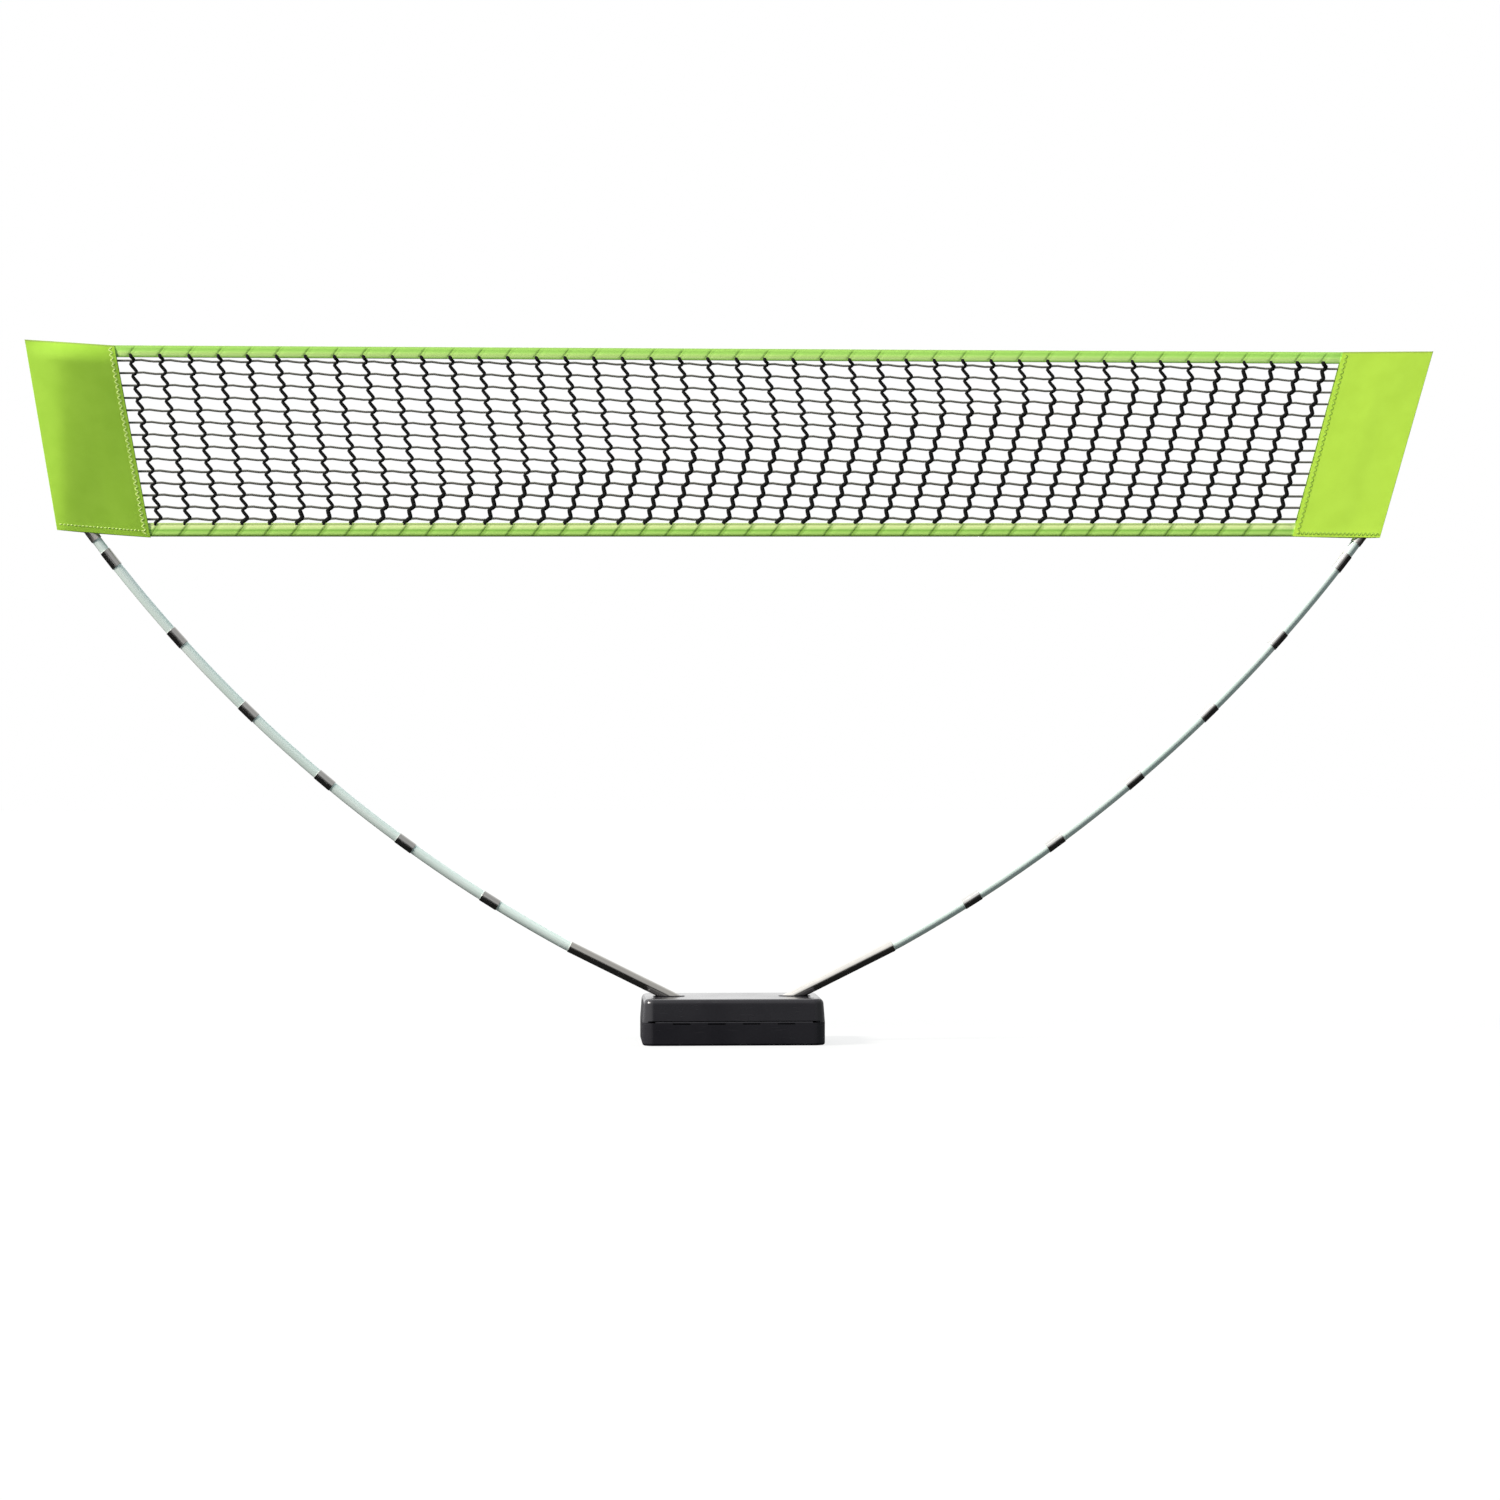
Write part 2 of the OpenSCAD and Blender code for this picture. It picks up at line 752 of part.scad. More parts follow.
// The elastic cord runs inside the whole pole, from the stopper in the end plug to the tip cap
module shock_cord(side) {
    cord_low = tube_bottom + touch * dir(pole_lean);
    color([0.9, 0.9, 0.88])
    on_side(side) {
        pipe_run(cord_low, pole_lean, stopper_len, stopper_r, 0);
        pipe_run(cord_low, pole_lean, norm(tube_end - cord_low) + over, cord_r, 0);
        pipe_bend(tube_end, mouth_bend_r, pole_lean, bow_lean, cord_r + 3 * step, 0);
        pipe_bow(-over, bow_len + elbow_arm + over, cord_r, 0);
        pipe_bend(elbow_start, elbow_r, elbow_lean, rod_lean, cord_r + 3 * step, 0);
        pipe_run(rod_start - over * dir(rod_lean), rod_lean, rod_len + over, cord_r, 0);
    }
}

// ---- cloth and net ----

// A slab in the net's plane, between two slanted seams
module slab(points, half_t) {
    rotate([90, 0, 0])
        translate([0, 0, -half_t])
            linear_extrude(2 * half_t)
                polygon(points);
}

// Swell of the pocket across the rod, 1 at the rod and 0 at its edges
function swell(n) = abs(n) < pocket_w ? pow(cos(90 * n / pocket_w), 2) : 0;
function skin(n, extra) = sheet_t / 2 + extra + (pocket_r - sheet_t / 2) * swell(n);
pocket_steps = [for (i = [-12:12]) i / 12 * pocket_w];
sleeve_in = -sleeve_top_w;
sleeve_out = edge_margin + 2 * over;

function skin_section(extra) = concat(
    [[sleeve_in, skin(sleeve_in, extra)]],
    [for (n = pocket_steps) [n, skin(n, extra)]],
    [[sleeve_out, skin(sleeve_out, extra)], [sleeve_out, -skin(sleeve_out, extra)]],
    [for (i = [12:-1:-12]) let (n = i / 12 * pocket_w) [n, -skin(n, extra)]],
    [[sleeve_in, -skin(sleeve_in, extra)]]
);
function hollow_section() = concat(
    [for (n = pocket_steps) [n, (pocket_r - cloth_t) * swell(n)]],
    [for (i = [11:-1:-11]) let (n = i / 12 * pocket_w) [n, -(pocket_r - cloth_t) * swell(n)]]
);

module rod_prism(section) {
    along(rod_start - net_h / 2 * dir(rod_lean), rod_lean)
        linear_extrude(2 * net_h)
            polygon(section);
}

// A cloth sleeve: two layers sewn together, with a pocket that the upper tube fills from below
module sleeve(side) {
    rise = [0, hem_h];
    drop = [0, closure];
    fall = [0, -net_h / 4];
    color(LIME)
    on_side(side)
    difference() {
        union() {
            intersection() {
                slab([inner_low, outer_low, outer_top, inner_top], 2 * pocket_r);
                rod_prism(skin_section(0));
            }
            intersection() {
                slab([inner_low, outer_low, outer_low + rise, inner_low + rise], 2 * pocket_r);
                slab([inner_low, outer_low, outer_top, inner_top], 3 * pocket_r);
                rod_prism(skin_section(hem_t));
            }
        }
        intersection() {
            slab([inner_low + fall, outer_low + fall, outer_top - drop, inner_top - drop], 2 * pocket_r);
            rod_prism(hollow_section());
        }
    }
}

// Everything between the two seams, from height z1 to z2
function between(z1, z2, gap) = [
    [-seam_x(z1) + gap, z1], [seam_x(z1) - gap, z1],
    [seam_x(z2) - gap, z2], [-seam_x(z2) + gap, z2]
];

// A tape is folded over the net's edge; fold_up is 1 when its closed side is the upper one
module tape(z1, z2, fold_up) {
    slot_low = fold_up > 0 ? z1 - over : z1 + tape_fold;
    slot_high = fold_up > 0 ? z2 - tape_fold : z2 + over;
    slot_t = net_t / 2 + tape_fit;
    color(TAPE_GREEN)
    translate([0, plane_y, 0])
    difference() {
        slab(between(z1, z2, sewn_gap), tape_t / 2);
        translate([-2 * edge_x(z2), -slot_t, slot_low])
            cube([4 * edge_x(z2), 2 * slot_t, slot_high - slot_low]);
    }
}

module top_tape() {
    tape(net_top - top_tape_h, net_top, 1);
}

module bottom_tape() {
    tape(net_low, net_low + low_tape_h, -1);
}

// An upright cord's place across the net: f is 0 at the left seam and 1 at the right one.
// Each cord leans one way down to its kink and the other way below it, and the kinks lie on the diagonal.
function upright_x(f, z) =
    let (kink_z = mix(net_low, net_top, f))
    (2 * f - 1) * (inner_top[0] - end_gap)
    + lean_above * (net_top - max(z, kink_z))
    - lean_below * max(0, kink_z - z);

open_low = net_low + low_tape_h + 0.5;
open_high = net_top - top_tape_h - 0.5;
function row_z(r) = mix(open_low, open_high, r / row_n);
function cell_left(c, z) = c == 0 ?
    -seam_x(z) + sewn_gap + border_w : upright_x((c - 1) / (upright_n - 1), z) + upright_w / 2;
function cell_right(c, z) = c == upright_n ?
    seam_x(z) - sewn_gap - border_w : upright_x(c / (upright_n - 1), z) - upright_w / 2;
function cell(c, r) =
    let (z1 = row_z(r) + level_w / 2, z2 = row_z(r + 1) - level_w / 2)
    [[cell_left(c, z1), z1], [cell_right(c, z1), z1], [cell_right(c, z2), z2], [cell_left(c, z2), z2]];

module net_mesh() {
    net_edge = tape_fold + 2;
    color([0.08, 0.08, 0.09])
    translate([0, plane_y + net_t / 2, 0])
    rotate([90, 0, 0])
    linear_extrude(net_t)
    difference() {
        polygon(between(net_low + net_edge, net_top - net_edge, sewn_gap));
        for (c = [0:upright_n], r = [0:row_n - 1])
            polygon(cell(c, r));
    }
}

// ---- drawing ----

CASE_NODES = ["case_tray", "case_lid", "hinge_pin", "latch_pins", "handle_pins", "carry_handle", "clamp_screws"];
NET_NODES = ["net_mesh", "top_tape", "bottom_tape"];
SIDE_NODES = [
    "latch", "socket", "socket_clamp", "lower_tube", "end_plug", "upper_tube", "tip_cap", "shock_cord", "sleeve"
];

case_tray();
case_lid();
hinge_pin();
latch_pins();
handle_pins();
carry_handle();
clamp_screws();
net_mesh();
top_tape();
bottom_tape();
for (side = SIDES) {
    latch(side);
    socket(side);
    socket_clamp(side);
    lower_tube(side);
    end_plug(side);
    upper_tube(side);
    tip_cap(side);
    shock_cord(side);
    sleeve(side);
    for (k = [1:ferrule_n])
        ferrule(side, k);
    for (k = [1:ferrule_n + 1])
        fibre_section(side, k);
}
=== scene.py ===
# %% [markdown]
# # A volleyball net on two bowed poles
# The set stands on its own case. Two poles lean out of the case's lid, bow upwards and carry a cloth
# sleeve each. Between the sleeves hangs a net with a tape along its upper and its lower edge.
# The solid model brings the case, the latches and the poles. This script dresses them and builds the
# soft pieces: net cords, tapes, sleeves and their stitching. Every length is in metres.

# %% Load the solid model
import math

import bmesh
import bpy
import numpy as np
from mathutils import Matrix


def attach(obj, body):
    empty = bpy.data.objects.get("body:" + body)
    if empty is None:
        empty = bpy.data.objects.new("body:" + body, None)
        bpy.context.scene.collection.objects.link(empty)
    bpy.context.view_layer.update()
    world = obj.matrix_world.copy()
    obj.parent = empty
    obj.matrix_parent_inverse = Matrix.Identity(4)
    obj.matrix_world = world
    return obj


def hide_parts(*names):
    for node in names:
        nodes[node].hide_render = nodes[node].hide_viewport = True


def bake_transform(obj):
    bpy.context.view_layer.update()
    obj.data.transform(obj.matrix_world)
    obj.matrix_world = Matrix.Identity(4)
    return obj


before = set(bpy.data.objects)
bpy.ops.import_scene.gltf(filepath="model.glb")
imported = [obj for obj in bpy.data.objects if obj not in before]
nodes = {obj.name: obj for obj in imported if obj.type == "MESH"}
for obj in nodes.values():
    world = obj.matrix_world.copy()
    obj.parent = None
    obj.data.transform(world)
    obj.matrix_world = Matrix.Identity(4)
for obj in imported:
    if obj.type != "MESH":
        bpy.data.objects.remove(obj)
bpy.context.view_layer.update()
scene = bpy.context.scene
print("solid model:", len(nodes), "nodes")

# %% [markdown]
# ## Camera
# The camera stands eight metres back, a little left of the middle and at the height of the poles. It
# looks level, so the upright lines stay upright. A long lens keeps the net's two ends alike in size.

# %% Camera
CAMERA_PLACE = (-0.3806, -7.989, 0.6195)
CAMERA_TURN = 3.01
LENS = 90.26

camera_data = bpy.data.cameras.new("camera")
camera_data.lens = LENS
camera_data.sensor_width = 36.0
camera = bpy.data.objects.new("camera", camera_data)
camera.location = CAMERA_PLACE
camera.rotation_euler = (math.radians(90.0), 0.0, math.radians(-CAMERA_TURN))
scene.collection.objects.link(camera)
scene.camera = camera
scene.view_settings.view_transform = "Standard"
print("camera at", CAMERA_PLACE)

# %% [markdown]
# ## A small kit for materials
# Every finish below starts from one Principled shader, and a few nodes give it its colour, roughness
# and relief. Written out, each node takes several lines, so short helpers keep the cells readable:
# they add a node with its values set, do a sum, make a smooth step, blend two values or colours, take
# a place apart, start a material and feed it a relief.

# %% Helpers for node trees
def add(tree, kind, inputs=None, **settings):
    """One new node; inputs are a value or a socket for each named or numbered input."""
    node = tree.nodes.new(kind)
    for key, value in settings.items():
        setattr(node, key, value)
    for key, value in (inputs or {}).items():
        socket = node.inputs[key]
        if isinstance(value, bpy.types.NodeSocket):
            tree.links.new(value, socket)
        else:
            socket.default_value = value
    return node


def sum_of(tree, operation, *values, clamp=False):
    """The output socket of a Math node."""
    node = add(tree, "ShaderNodeMath", dict(enumerate(values)), operation=operation)
    node.use_clamp = clamp
    return node.outputs[0]


def ramp(tree, value, low, high, start=0.0, end=1.0):
    """A smooth step from start to end while the value goes from low to high."""
    node = add(tree, "ShaderNodeMapRange", {0: value, 1: low, 2: high, 3: start, 4: end})
    node.interpolation_type = "SMOOTHSTEP"
    return node.outputs[0]


def blend_value(tree, share, first, second):
    """The output socket of a Mix node between two values."""
    return add(tree, "ShaderNodeMix", {0: share, 2: first, 3: second}).outputs[0]


def blend_colour(tree, share, first, second):
    """The output socket of a Mix node between two colours."""
    return add(tree, "ShaderNodeMix", {0: share, 6: first, 7: second}, data_type="RGBA").outputs[2]


def split(tree, vector):
    """The three numbers of a vector, as sockets."""
    return add(tree, "ShaderNodeSeparateXYZ", {0: vector}).outputs


print("node helpers ready")

# %% Helpers for materials
def own_place(tree):
    """Where a point is in its piece's own frame."""
    return add(tree, "ShaderNodeTexCoord").outputs["Object"]


def cloth_place(tree):
    """Where a point is on the UV map that this script gives to its soft pieces."""
    return add(tree, "ShaderNodeUVMap", uv_map="cloth").outputs[0]


def start_material(name, **values):
    """A material with one Principled shader; underscores in a value's name stand for spaces."""
    material = bpy.data.materials.new(name)
    material.use_nodes = True
    tree = material.node_tree
    tree.nodes.clear()
    inputs = {key.replace("_", " "): value for key, value in values.items()}
    shader = add(tree, "ShaderNodeBsdfPrincipled", inputs)
    output = add(tree, "ShaderNodeOutputMaterial")
    tree.links.new(shader.outputs[0], output.inputs[0])
    return material, tree, shader


def bump(tree, shader, height, strength, distance):
    """Feeds a height to the shader's normal."""
    node = add(tree, "ShaderNodeBump", {"Strength": strength, "Distance": distance, "Height": height})
    tree.links.new(node.outputs[0], shader.inputs["Normal"])


def rgb(red, green, blue):
    """A colour written as 0 to 255 on screen, turned into the linear value that nodes use."""
    parts = [c / 255.0 for c in (red, green, blue)]
    return [c / 12.92 if c <= 0.04045 else ((c + 0.055) / 1.055) ** 2.4 for c in parts] + [1.0]


print("material helpers ready")

# %% [markdown]
# ## World
# The background is plain white to the camera. The world's light on the pieces has to be much weaker,
# so the world asks what kind of ray it meets: a camera ray sees white, and a diffuse ray gets a soft
# light with a green-blue tint. Plated steel needs something to mirror, so a glossy ray finds a world
# that is dark near the ground and brighter above, towards the lamp on the left and behind the set.

# %% World
WHITE = (1.0, 1.0, 1.0, 1.0)
AMBIENT = 0.24
AMBIENT_TINT = (0.68, 1.0, 1.08, 1.0)
SKY_LEFT = 1.3
SKY_RIGHT = 0.48
SKY_BEHIND = 0.45
SKY_IN_FRONT = 0.15
GROUND_SHINE = 0.015


def mirrored_world(tree, across, depth, up):
    """How bright the world is to a glossy ray."""
    above_ground = ramp(tree, up, -0.07, 0.04)
    sky = ramp(tree, across, -0.5, 0.25, SKY_LEFT, SKY_RIGHT)
    sky = sum_of(tree, "MULTIPLY_ADD", sum_of(tree, "MAXIMUM", depth, 0.0), SKY_BEHIND, sky)
    sky = sum_of(tree, "MULTIPLY", sky, ramp(tree, depth, -1.0, -0.94, SKY_IN_FRONT, 1.0))
    return sum_of(tree, "MULTIPLY_ADD", sky, above_ground, GROUND_SHINE)


def build_world():
    world = bpy.data.worlds.new("studio")
    world.use_nodes = True
    scene.world = world
    tree = world.node_tree
    tree.nodes.clear()
    ray = add(tree, "ShaderNodeLightPath").outputs
    across, depth, up = split(tree, add(tree, "ShaderNodeTexCoord").outputs["Generated"])
    soft = ramp(tree, up, -0.4, 0.4, AMBIENT * 0.4, AMBIENT)
    level = blend_value(tree, ray["Is Glossy Ray"], soft, mirrored_world(tree, across, depth, up))
    seen = sum_of(tree, "MAXIMUM", ray["Is Camera Ray"], ray["Is Transmission Ray"])
    level = blend_value(tree, seen, level, 1.0)
    tint = blend_colour(tree, ray["Is Diffuse Ray"], WHITE, AMBIENT_TINT)
    background = add(tree, "ShaderNodeBackground", {"Color": tint, "Strength": level})
    output = add(tree, "ShaderNodeOutputWorld")
    tree.links.new(background.outputs[0], output.inputs[0])


build_world()
print("world: ambient", AMBIENT)

# %% [markdown]
# ## Lamps
# One broad lamp comes from the upper left, as a window would: it runs along the left pole and falls
# square on the right one. A weak, very wide lamp from the upper right lightens the far side of the
# left pole, and a third lights the back. All are sun lamps, because a sun lights both ends of a wide
# set alike. The two soft lamps are kept out of the gloss, so the steel shows one window only.

# %% Lamps
LAMP_HEIGHT = 38.0
KEY_TURN = 70.0
KEY_LEVEL = 2.04
KEY_WIDTH = 16.0
FILL_TURN = -84.0
FILL_LEVEL = 0.32
BACK_TURN = 168.0
BACK_LEVEL = 0.8
SOFT_WIDTH = 50.0


def build_lamp(name, level, width, turn, colour):
    """A sun lamp: width is its angle, and turn is how far left of the camera it stands, in degrees."""
    lamp = bpy.data.lights.new(name, "SUN")
    lamp.energy = level * math.pi
    lamp.angle = math.radians(width)
    lamp.color = colour
    holder = bpy.data.objects.new(name, lamp)
    holder.rotation_euler = (math.radians(90.0 - LAMP_HEIGHT), 0.0, math.radians(-turn))
    scene.collection.objects.link(holder)
    return holder


build_lamp("window_light", KEY_LEVEL, KEY_WIDTH, KEY_TURN, (1.0, 0.96, 0.9))
fill = build_lamp("fill_light", FILL_LEVEL, SOFT_WIDTH, FILL_TURN, (0.94, 1.0, 0.98))
back = build_lamp("back_light", BACK_LEVEL, SOFT_WIDTH, BACK_TURN, (1.0, 1.0, 1.0))
fill.visible_glossy = False
back.visible_glossy = False
print("lamps:", KEY_TURN, "degrees left and", -FILL_TURN, "degrees right of the camera")

# %% [markdown]
# ## Floor
# The floor only has to catch the set's soft shadow. It is one large square whose whiteness is mostly a
# glow that the camera alone sees, so that it throws no light on the set. The rest is plain diffuse
# paint, which the shadow can darken. It lies a hair below the case and never shows in the steel.

# %% Floor
FLOOR_GLOW = 0.815
FLOOR_REACH = 30.0
FLOOR_LEVEL = -0.0006


def build_floor():
    mesh = bpy.data.meshes.new("floor")
    signs = ((-1.0, -1.0), (1.0, -1.0), (1.0, 1.0), (-1.0, 1.0))
    mesh.from_pydata([(x * FLOOR_REACH, y * FLOOR_REACH, FLOOR_LEVEL) for x, y in signs], [], [(0, 1, 2, 3)])
    floor = bpy.data.objects.new("floor", mesh)
    scene.collection.objects.link(floor)
    material, tree, shader = start_material(
        "floor_paint", Roughness=0.9, Specular_IOR_Level=0.0, Emission_Color=WHITE)
    seen = add(tree, "ShaderNodeLightPath").outputs["Is Camera Ray"]
    paint = blend_colour(tree, seen, (0.09, 0.09, 0.09, 1.0), (0.1, 0.1, 0.1, 1.0))
    tree.links.new(paint, shader.inputs["Base Color"])
    tree.links.new(sum_of(tree, "MULTIPLY", seen, FLOOR_GLOW), shader.inputs["Emission Strength"])
    mesh.materials.append(material)
    floor.visible_glossy = False


build_floor()
print("floor ready")

# %% [markdown]
# ## Shared surface effects
# Four effects turn up in several finishes, so each is a node group with its own sockets: woven
# threads for the cloth, a pebble grain for moulded plastic, streaks that run along a drawn tube, and
# a slow mottle that keeps any colour from being dead flat. A group is built once and placed in each
# material with its own values, so a change to the effect reaches every finish that uses it.

# %% Helpers for groups
def start_group(name, inputs, outputs):
    """A shader node group. Inputs are name: default; a place is a vector, and all else a number."""
    group = bpy.data.node_groups.new(name, "ShaderNodeTree")
    for label, default in inputs.items():
        kind = "NodeSocketVector" if default is None else "NodeSocketFloat"
        socket = group.interface.new_socket(name=label, in_out="INPUT", socket_type=kind)
        if default is not None:
            socket.default_value = default
    for label in outputs:
        kind = "NodeSocketVector" if label == "Place" else "NodeSocketFloat"
        group.interface.new_socket(name=label, in_out="OUTPUT", socket_type=kind)
    entry = add(group, "NodeGroupInput")
    leave = add(group, "NodeGroupOutput")
    return group, entry.outputs, leave.inputs


def place(tree, group, **values):
    """Puts a group into a material and gives back its outputs."""
    return add(tree, "ShaderNodeGroup", values, node_tree=group).outputs


print("group helpers ready")

# %% [markdown]
# ### Woven threads
# Plain weave: where the product of two sines is positive the warp lies on top, elsewhere the weft.
# Each thread is a rounded ridge, so one height gives both the relief and a mask for the painted shade
# in the gaps between threads. A picture of cloth would do the same, but it would repeat and blur from
# close by.

# %% Woven threads
def make_weave():
    group, entry, leave = start_group("Woven threads", {"Place": None, "Pitch": 0.001}, ["Height", "Gap shade"])
    turns = sum_of(group, "DIVIDE", math.pi, entry["Pitch"])
    scaled = add(group, "ShaderNodeVectorMath", {0: entry["Place"], "Scale": turns}, operation="SCALE")
    across, along, _ = split(group, scaled.outputs[0])
    warp = sum_of(group, "SINE", across)
    weft = sum_of(group, "SINE", along)
    over = sum_of(group, "GREATER_THAN", sum_of(group, "MULTIPLY", warp, weft), 0.0)
    height = blend_value(group, over, sum_of(group, "ABSOLUTE", weft), sum_of(group, "ABSOLUTE", warp))
    group.links.new(height, leave["Height"])
    # This output is a mask for painted shade in the gaps between threads.
    group.links.new(ramp(group, height, 0.0, 0.45, 1.0, 0.0), leave["Gap shade"])
    return group


weave = make_weave()
print("group:", weave.name)

# %% [markdown]
# ### Mottle and moulded grain
# The mottle is one soft noise. Moulded grain is a layer of tiny pebbles with a finer noise on top. Its
# scuffs are a noise pressed flat, because a case that is pushed about gets short level rubs.

# %% Mottle and moulded grain
SCUFF_PRESS = (30.0, 30.0, 260.0)


def noise(tree, where, scale, detail):
    """The value of a noise texture."""
    return add(tree, "ShaderNodeTexNoise", {"Vector": where, "Scale": scale, "Detail": detail}).outputs[0]


def make_mottle():
    group, entry, leave = start_group("Slow mottle", {"Place": None, "Scale": 10.0}, ["Amount"])
    broad = noise(group, entry["Place"], entry["Scale"], 4.0)
    group.links.new(ramp(group, broad, 0.3, 0.7), leave["Amount"])
    return group


def make_grain():
    inputs = {"Place": None, "Scale": 900.0}
    group, entry, leave = start_group("Moulded grain", inputs, ["Height", "Scuffs"])
    pebbles = add(group, "ShaderNodeTexVoronoi", {"Vector": entry["Place"], "Scale": entry["Scale"]})
    fine = noise(group, entry["Place"], 420.0, 3.0)
    height = sum_of(group, "MULTIPLY_ADD", pebbles.outputs["Distance"], 0.6, fine)
    group.links.new(height, leave["Height"])
    pressed = add(group, "ShaderNodeVectorMath", {0: entry["Place"], 1: SCUFF_PRESS}, operation="MULTIPLY")
    rubs = noise(group, pressed.outputs[0], 1.0, 6.0)
    group.links.new(ramp(group, rubs, 0.62, 0.74), leave["Scuffs"])
    return group


mottle = make_mottle()
grain = make_grain()
print("groups:", mottle.name, "and", grain.name)

# %% [markdown]
# ### Drawn streaks
# A tube that was drawn through a die, or laid up from long fibres, has faint lines along it. They are
# a noise that changes slowly along the tube and fast across it.

# %% Drawn streaks
STREAK_CHANGE = 6.0


def make_streaks():
    inputs = {"Place": None, "Fineness": 900.0}
    group, entry, leave = start_group("Drawn streaks", inputs, ["Height", "Shade"])
    along, deep, across = split(group, entry["Place"])
    along = sum_of(group, "MULTIPLY", along, STREAK_CHANGE)
    deep = sum_of(group, "MULTIPLY", deep, entry["Fineness"])
    across = sum_of(group, "MULTIPLY", across, entry["Fineness"])
    stretched = add(group, "ShaderNodeCombineXYZ", {0: along, 1: deep, 2: across})
    lines = noise(group, stretched.outputs[0], 1.0, 5.0)
    group.links.new(lines, leave["Height"])
    group.links.new(ramp(group, lines, 0.35, 0.65), leave["Shade"])
    return group


streaks = make_streaks()
print("group:", streaks.name)

# %% [markdown]
# ### Lines along a bowed pole
# Streaks must follow the pole. Each pole is an arc of one circle, so the length along it is the angle
# round that circle's centre and the place across it is the distance from the centre.

# %% Place along the bow
BOW_RADIUS = 3.1
BOW_CENTRE_OUT = -1.1395
BOW_CENTRE_UP = 2.9242


def make_bow_place():
    group, entry, leave = start_group("Along the bow", {"Place": None, "Side": 1.0}, ["Place"])
    across, deep, up = split(group, entry["Place"])
    out = sum_of(group, "MULTIPLY", across, entry["Side"])
    out = sum_of(group, "SUBTRACT", out, BOW_CENTRE_OUT)
    down = sum_of(group, "SUBTRACT", BOW_CENTRE_UP, up)
    along = sum_of(group, "MULTIPLY", sum_of(group, "ARCTAN2", out, down), BOW_RADIUS)
    squared = sum_of(group, "MULTIPLY_ADD", out, out, sum_of(group, "MULTIPLY", down, down))
    reach = sum_of(group, "SQRT", squared)
    vector = add(group, "ShaderNodeCombineXYZ", {0: along, 1: deep, 2: reach})
    group.links.new(vector.outputs[0], leave["Place"])
    return group


bow_place = make_bow_place()
print("group:", bow_place.name)

# %% [markdown]
# ## Case plastic
# The case, its latches, its handle and the sockets are black moulded plastic, satin rather than
# glossy. Its grain is too fine to see as relief, but it breaks up the highlights. Faces that look
# straight up are smoother, so the lid's flat top mirrors the light behind the set. Corners and edges
# are rubbed a little paler, and dust has settled in slow patches.

# %% Case plastic
# For each axis: the case's middle, and how far from it the rubbed zone begins and is full.
CASE_EDGES = ((0.0, 0.182, 0.192), (0.0, 0.114, 0.124), (0.0485, 0.038, 0.0485))


def edge_zone(tree, where):
    """A mask that is full where two faces of the case meet."""
    near = []
    for axis, (middle, begin, full) in zip(split(tree, where), CASE_EDGES):
        offset = sum_of(tree, "ABSOLUTE", sum_of(tree, "SUBTRACT", axis, middle))
        near.append(ramp(tree, offset, begin, full))
    pairs = [sum_of(tree, "MULTIPLY", near[a], near[b]) for a, b in ((0, 1), (1, 2), (0, 2))]
    return sum_of(tree, "MAXIMUM", sum_of(tree, "MAXIMUM", pairs[0], pairs[1]), pairs[2])


def make_case_plastic():
    material, tree, shader = start_material("black_case_plastic", IOR=1.5)
    where = own_place(tree)
    surface = place(tree, grain, Place=where, Scale=1100.0)
    patches = place(tree, mottle, Place=where, Scale=9.0)["Amount"]
    rubbed = sum_of(tree, "MULTIPLY", edge_zone(tree, where), surface["Scuffs"])
    rubbed = sum_of(tree, "MULTIPLY_ADD", surface["Scuffs"], 0.12, rubbed, clamp=True)
    colour = blend_colour(tree, patches, rgb(30, 29, 34), rgb(35, 34, 39))
    colour = blend_colour(tree, rubbed, colour, rgb(74, 73, 77))
    tree.links.new(colour, shader.inputs["Base Color"])
    facing_up = split(tree, add(tree, "ShaderNodeNewGeometry").outputs["Normal"])[2]
    polished = ramp(tree, facing_up, 0.8, 0.97)
    rough = sum_of(tree, "MULTIPLY_ADD", patches, 0.06, 0.22)
    rough = sum_of(tree, "MULTIPLY_ADD", polished, -0.12, rough)
    rough = sum_of(tree, "MULTIPLY_ADD", rubbed, 0.15, rough)
    tree.links.new(rough, shader.inputs["Roughness"])
    relief = sum_of(tree, "MULTIPLY", surface["Height"], sum_of(tree, "SUBTRACT", 1.0, polished))
    bump(tree, shader, relief, 0.05, 0.0002)
    return material


case_plastic = make_case_plastic()
print("finish:", case_plastic.name)

# %% [markdown]
# ## Plated steel
# The tubes and the ferrules are plated steel with faint drawing lines. The lower tubes are the
# brightest, the ferrules a little duller, and the bent upper tubes are satin, because the sleeves rub
# them. The pins are darker. A metal's look is nearly all reflection, so the finishes differ in
# roughness and tint alone. Each side has its own finish, because the streaks follow that side's bow.

# %% Plated steel
SIDES = {"left": -1.0, "right": 1.0}
STEEL_TINT = rgb(226, 223, 217)
FERRULE_TINT = rgb(214, 213, 210)
PIN_TINT = rgb(150, 150, 152)


def make_steel(name, tint, rough, sign=None):
    """Plated steel; where a side's sign is given, the streaks follow that side's bow."""
    material, tree, shader = start_material(name, Metallic=1.0)
    where = own_place(tree)
    along = place(tree, bow_place, Place=where, Side=sign)["Place"] if sign else where
    lines = place(tree, streaks, Place=along, Fineness=1400.0)
    patches = place(tree, mottle, Place=where, Scale=60.0)["Amount"]
    dull = [c * 0.86 for c in tint[:3]] + [1.0]
    tree.links.new(blend_colour(tree, lines["Shade"], dull, tint), shader.inputs["Base Color"])
    value = sum_of(tree, "MULTIPLY_ADD", patches, 0.08, rough)
    value = sum_of(tree, "MULTIPLY_ADD", lines["Shade"], 0.05, value)
    tree.links.new(value, shader.inputs["Roughness"])
    bump(tree, shader, lines["Height"], 0.03, 0.0002)
    return material


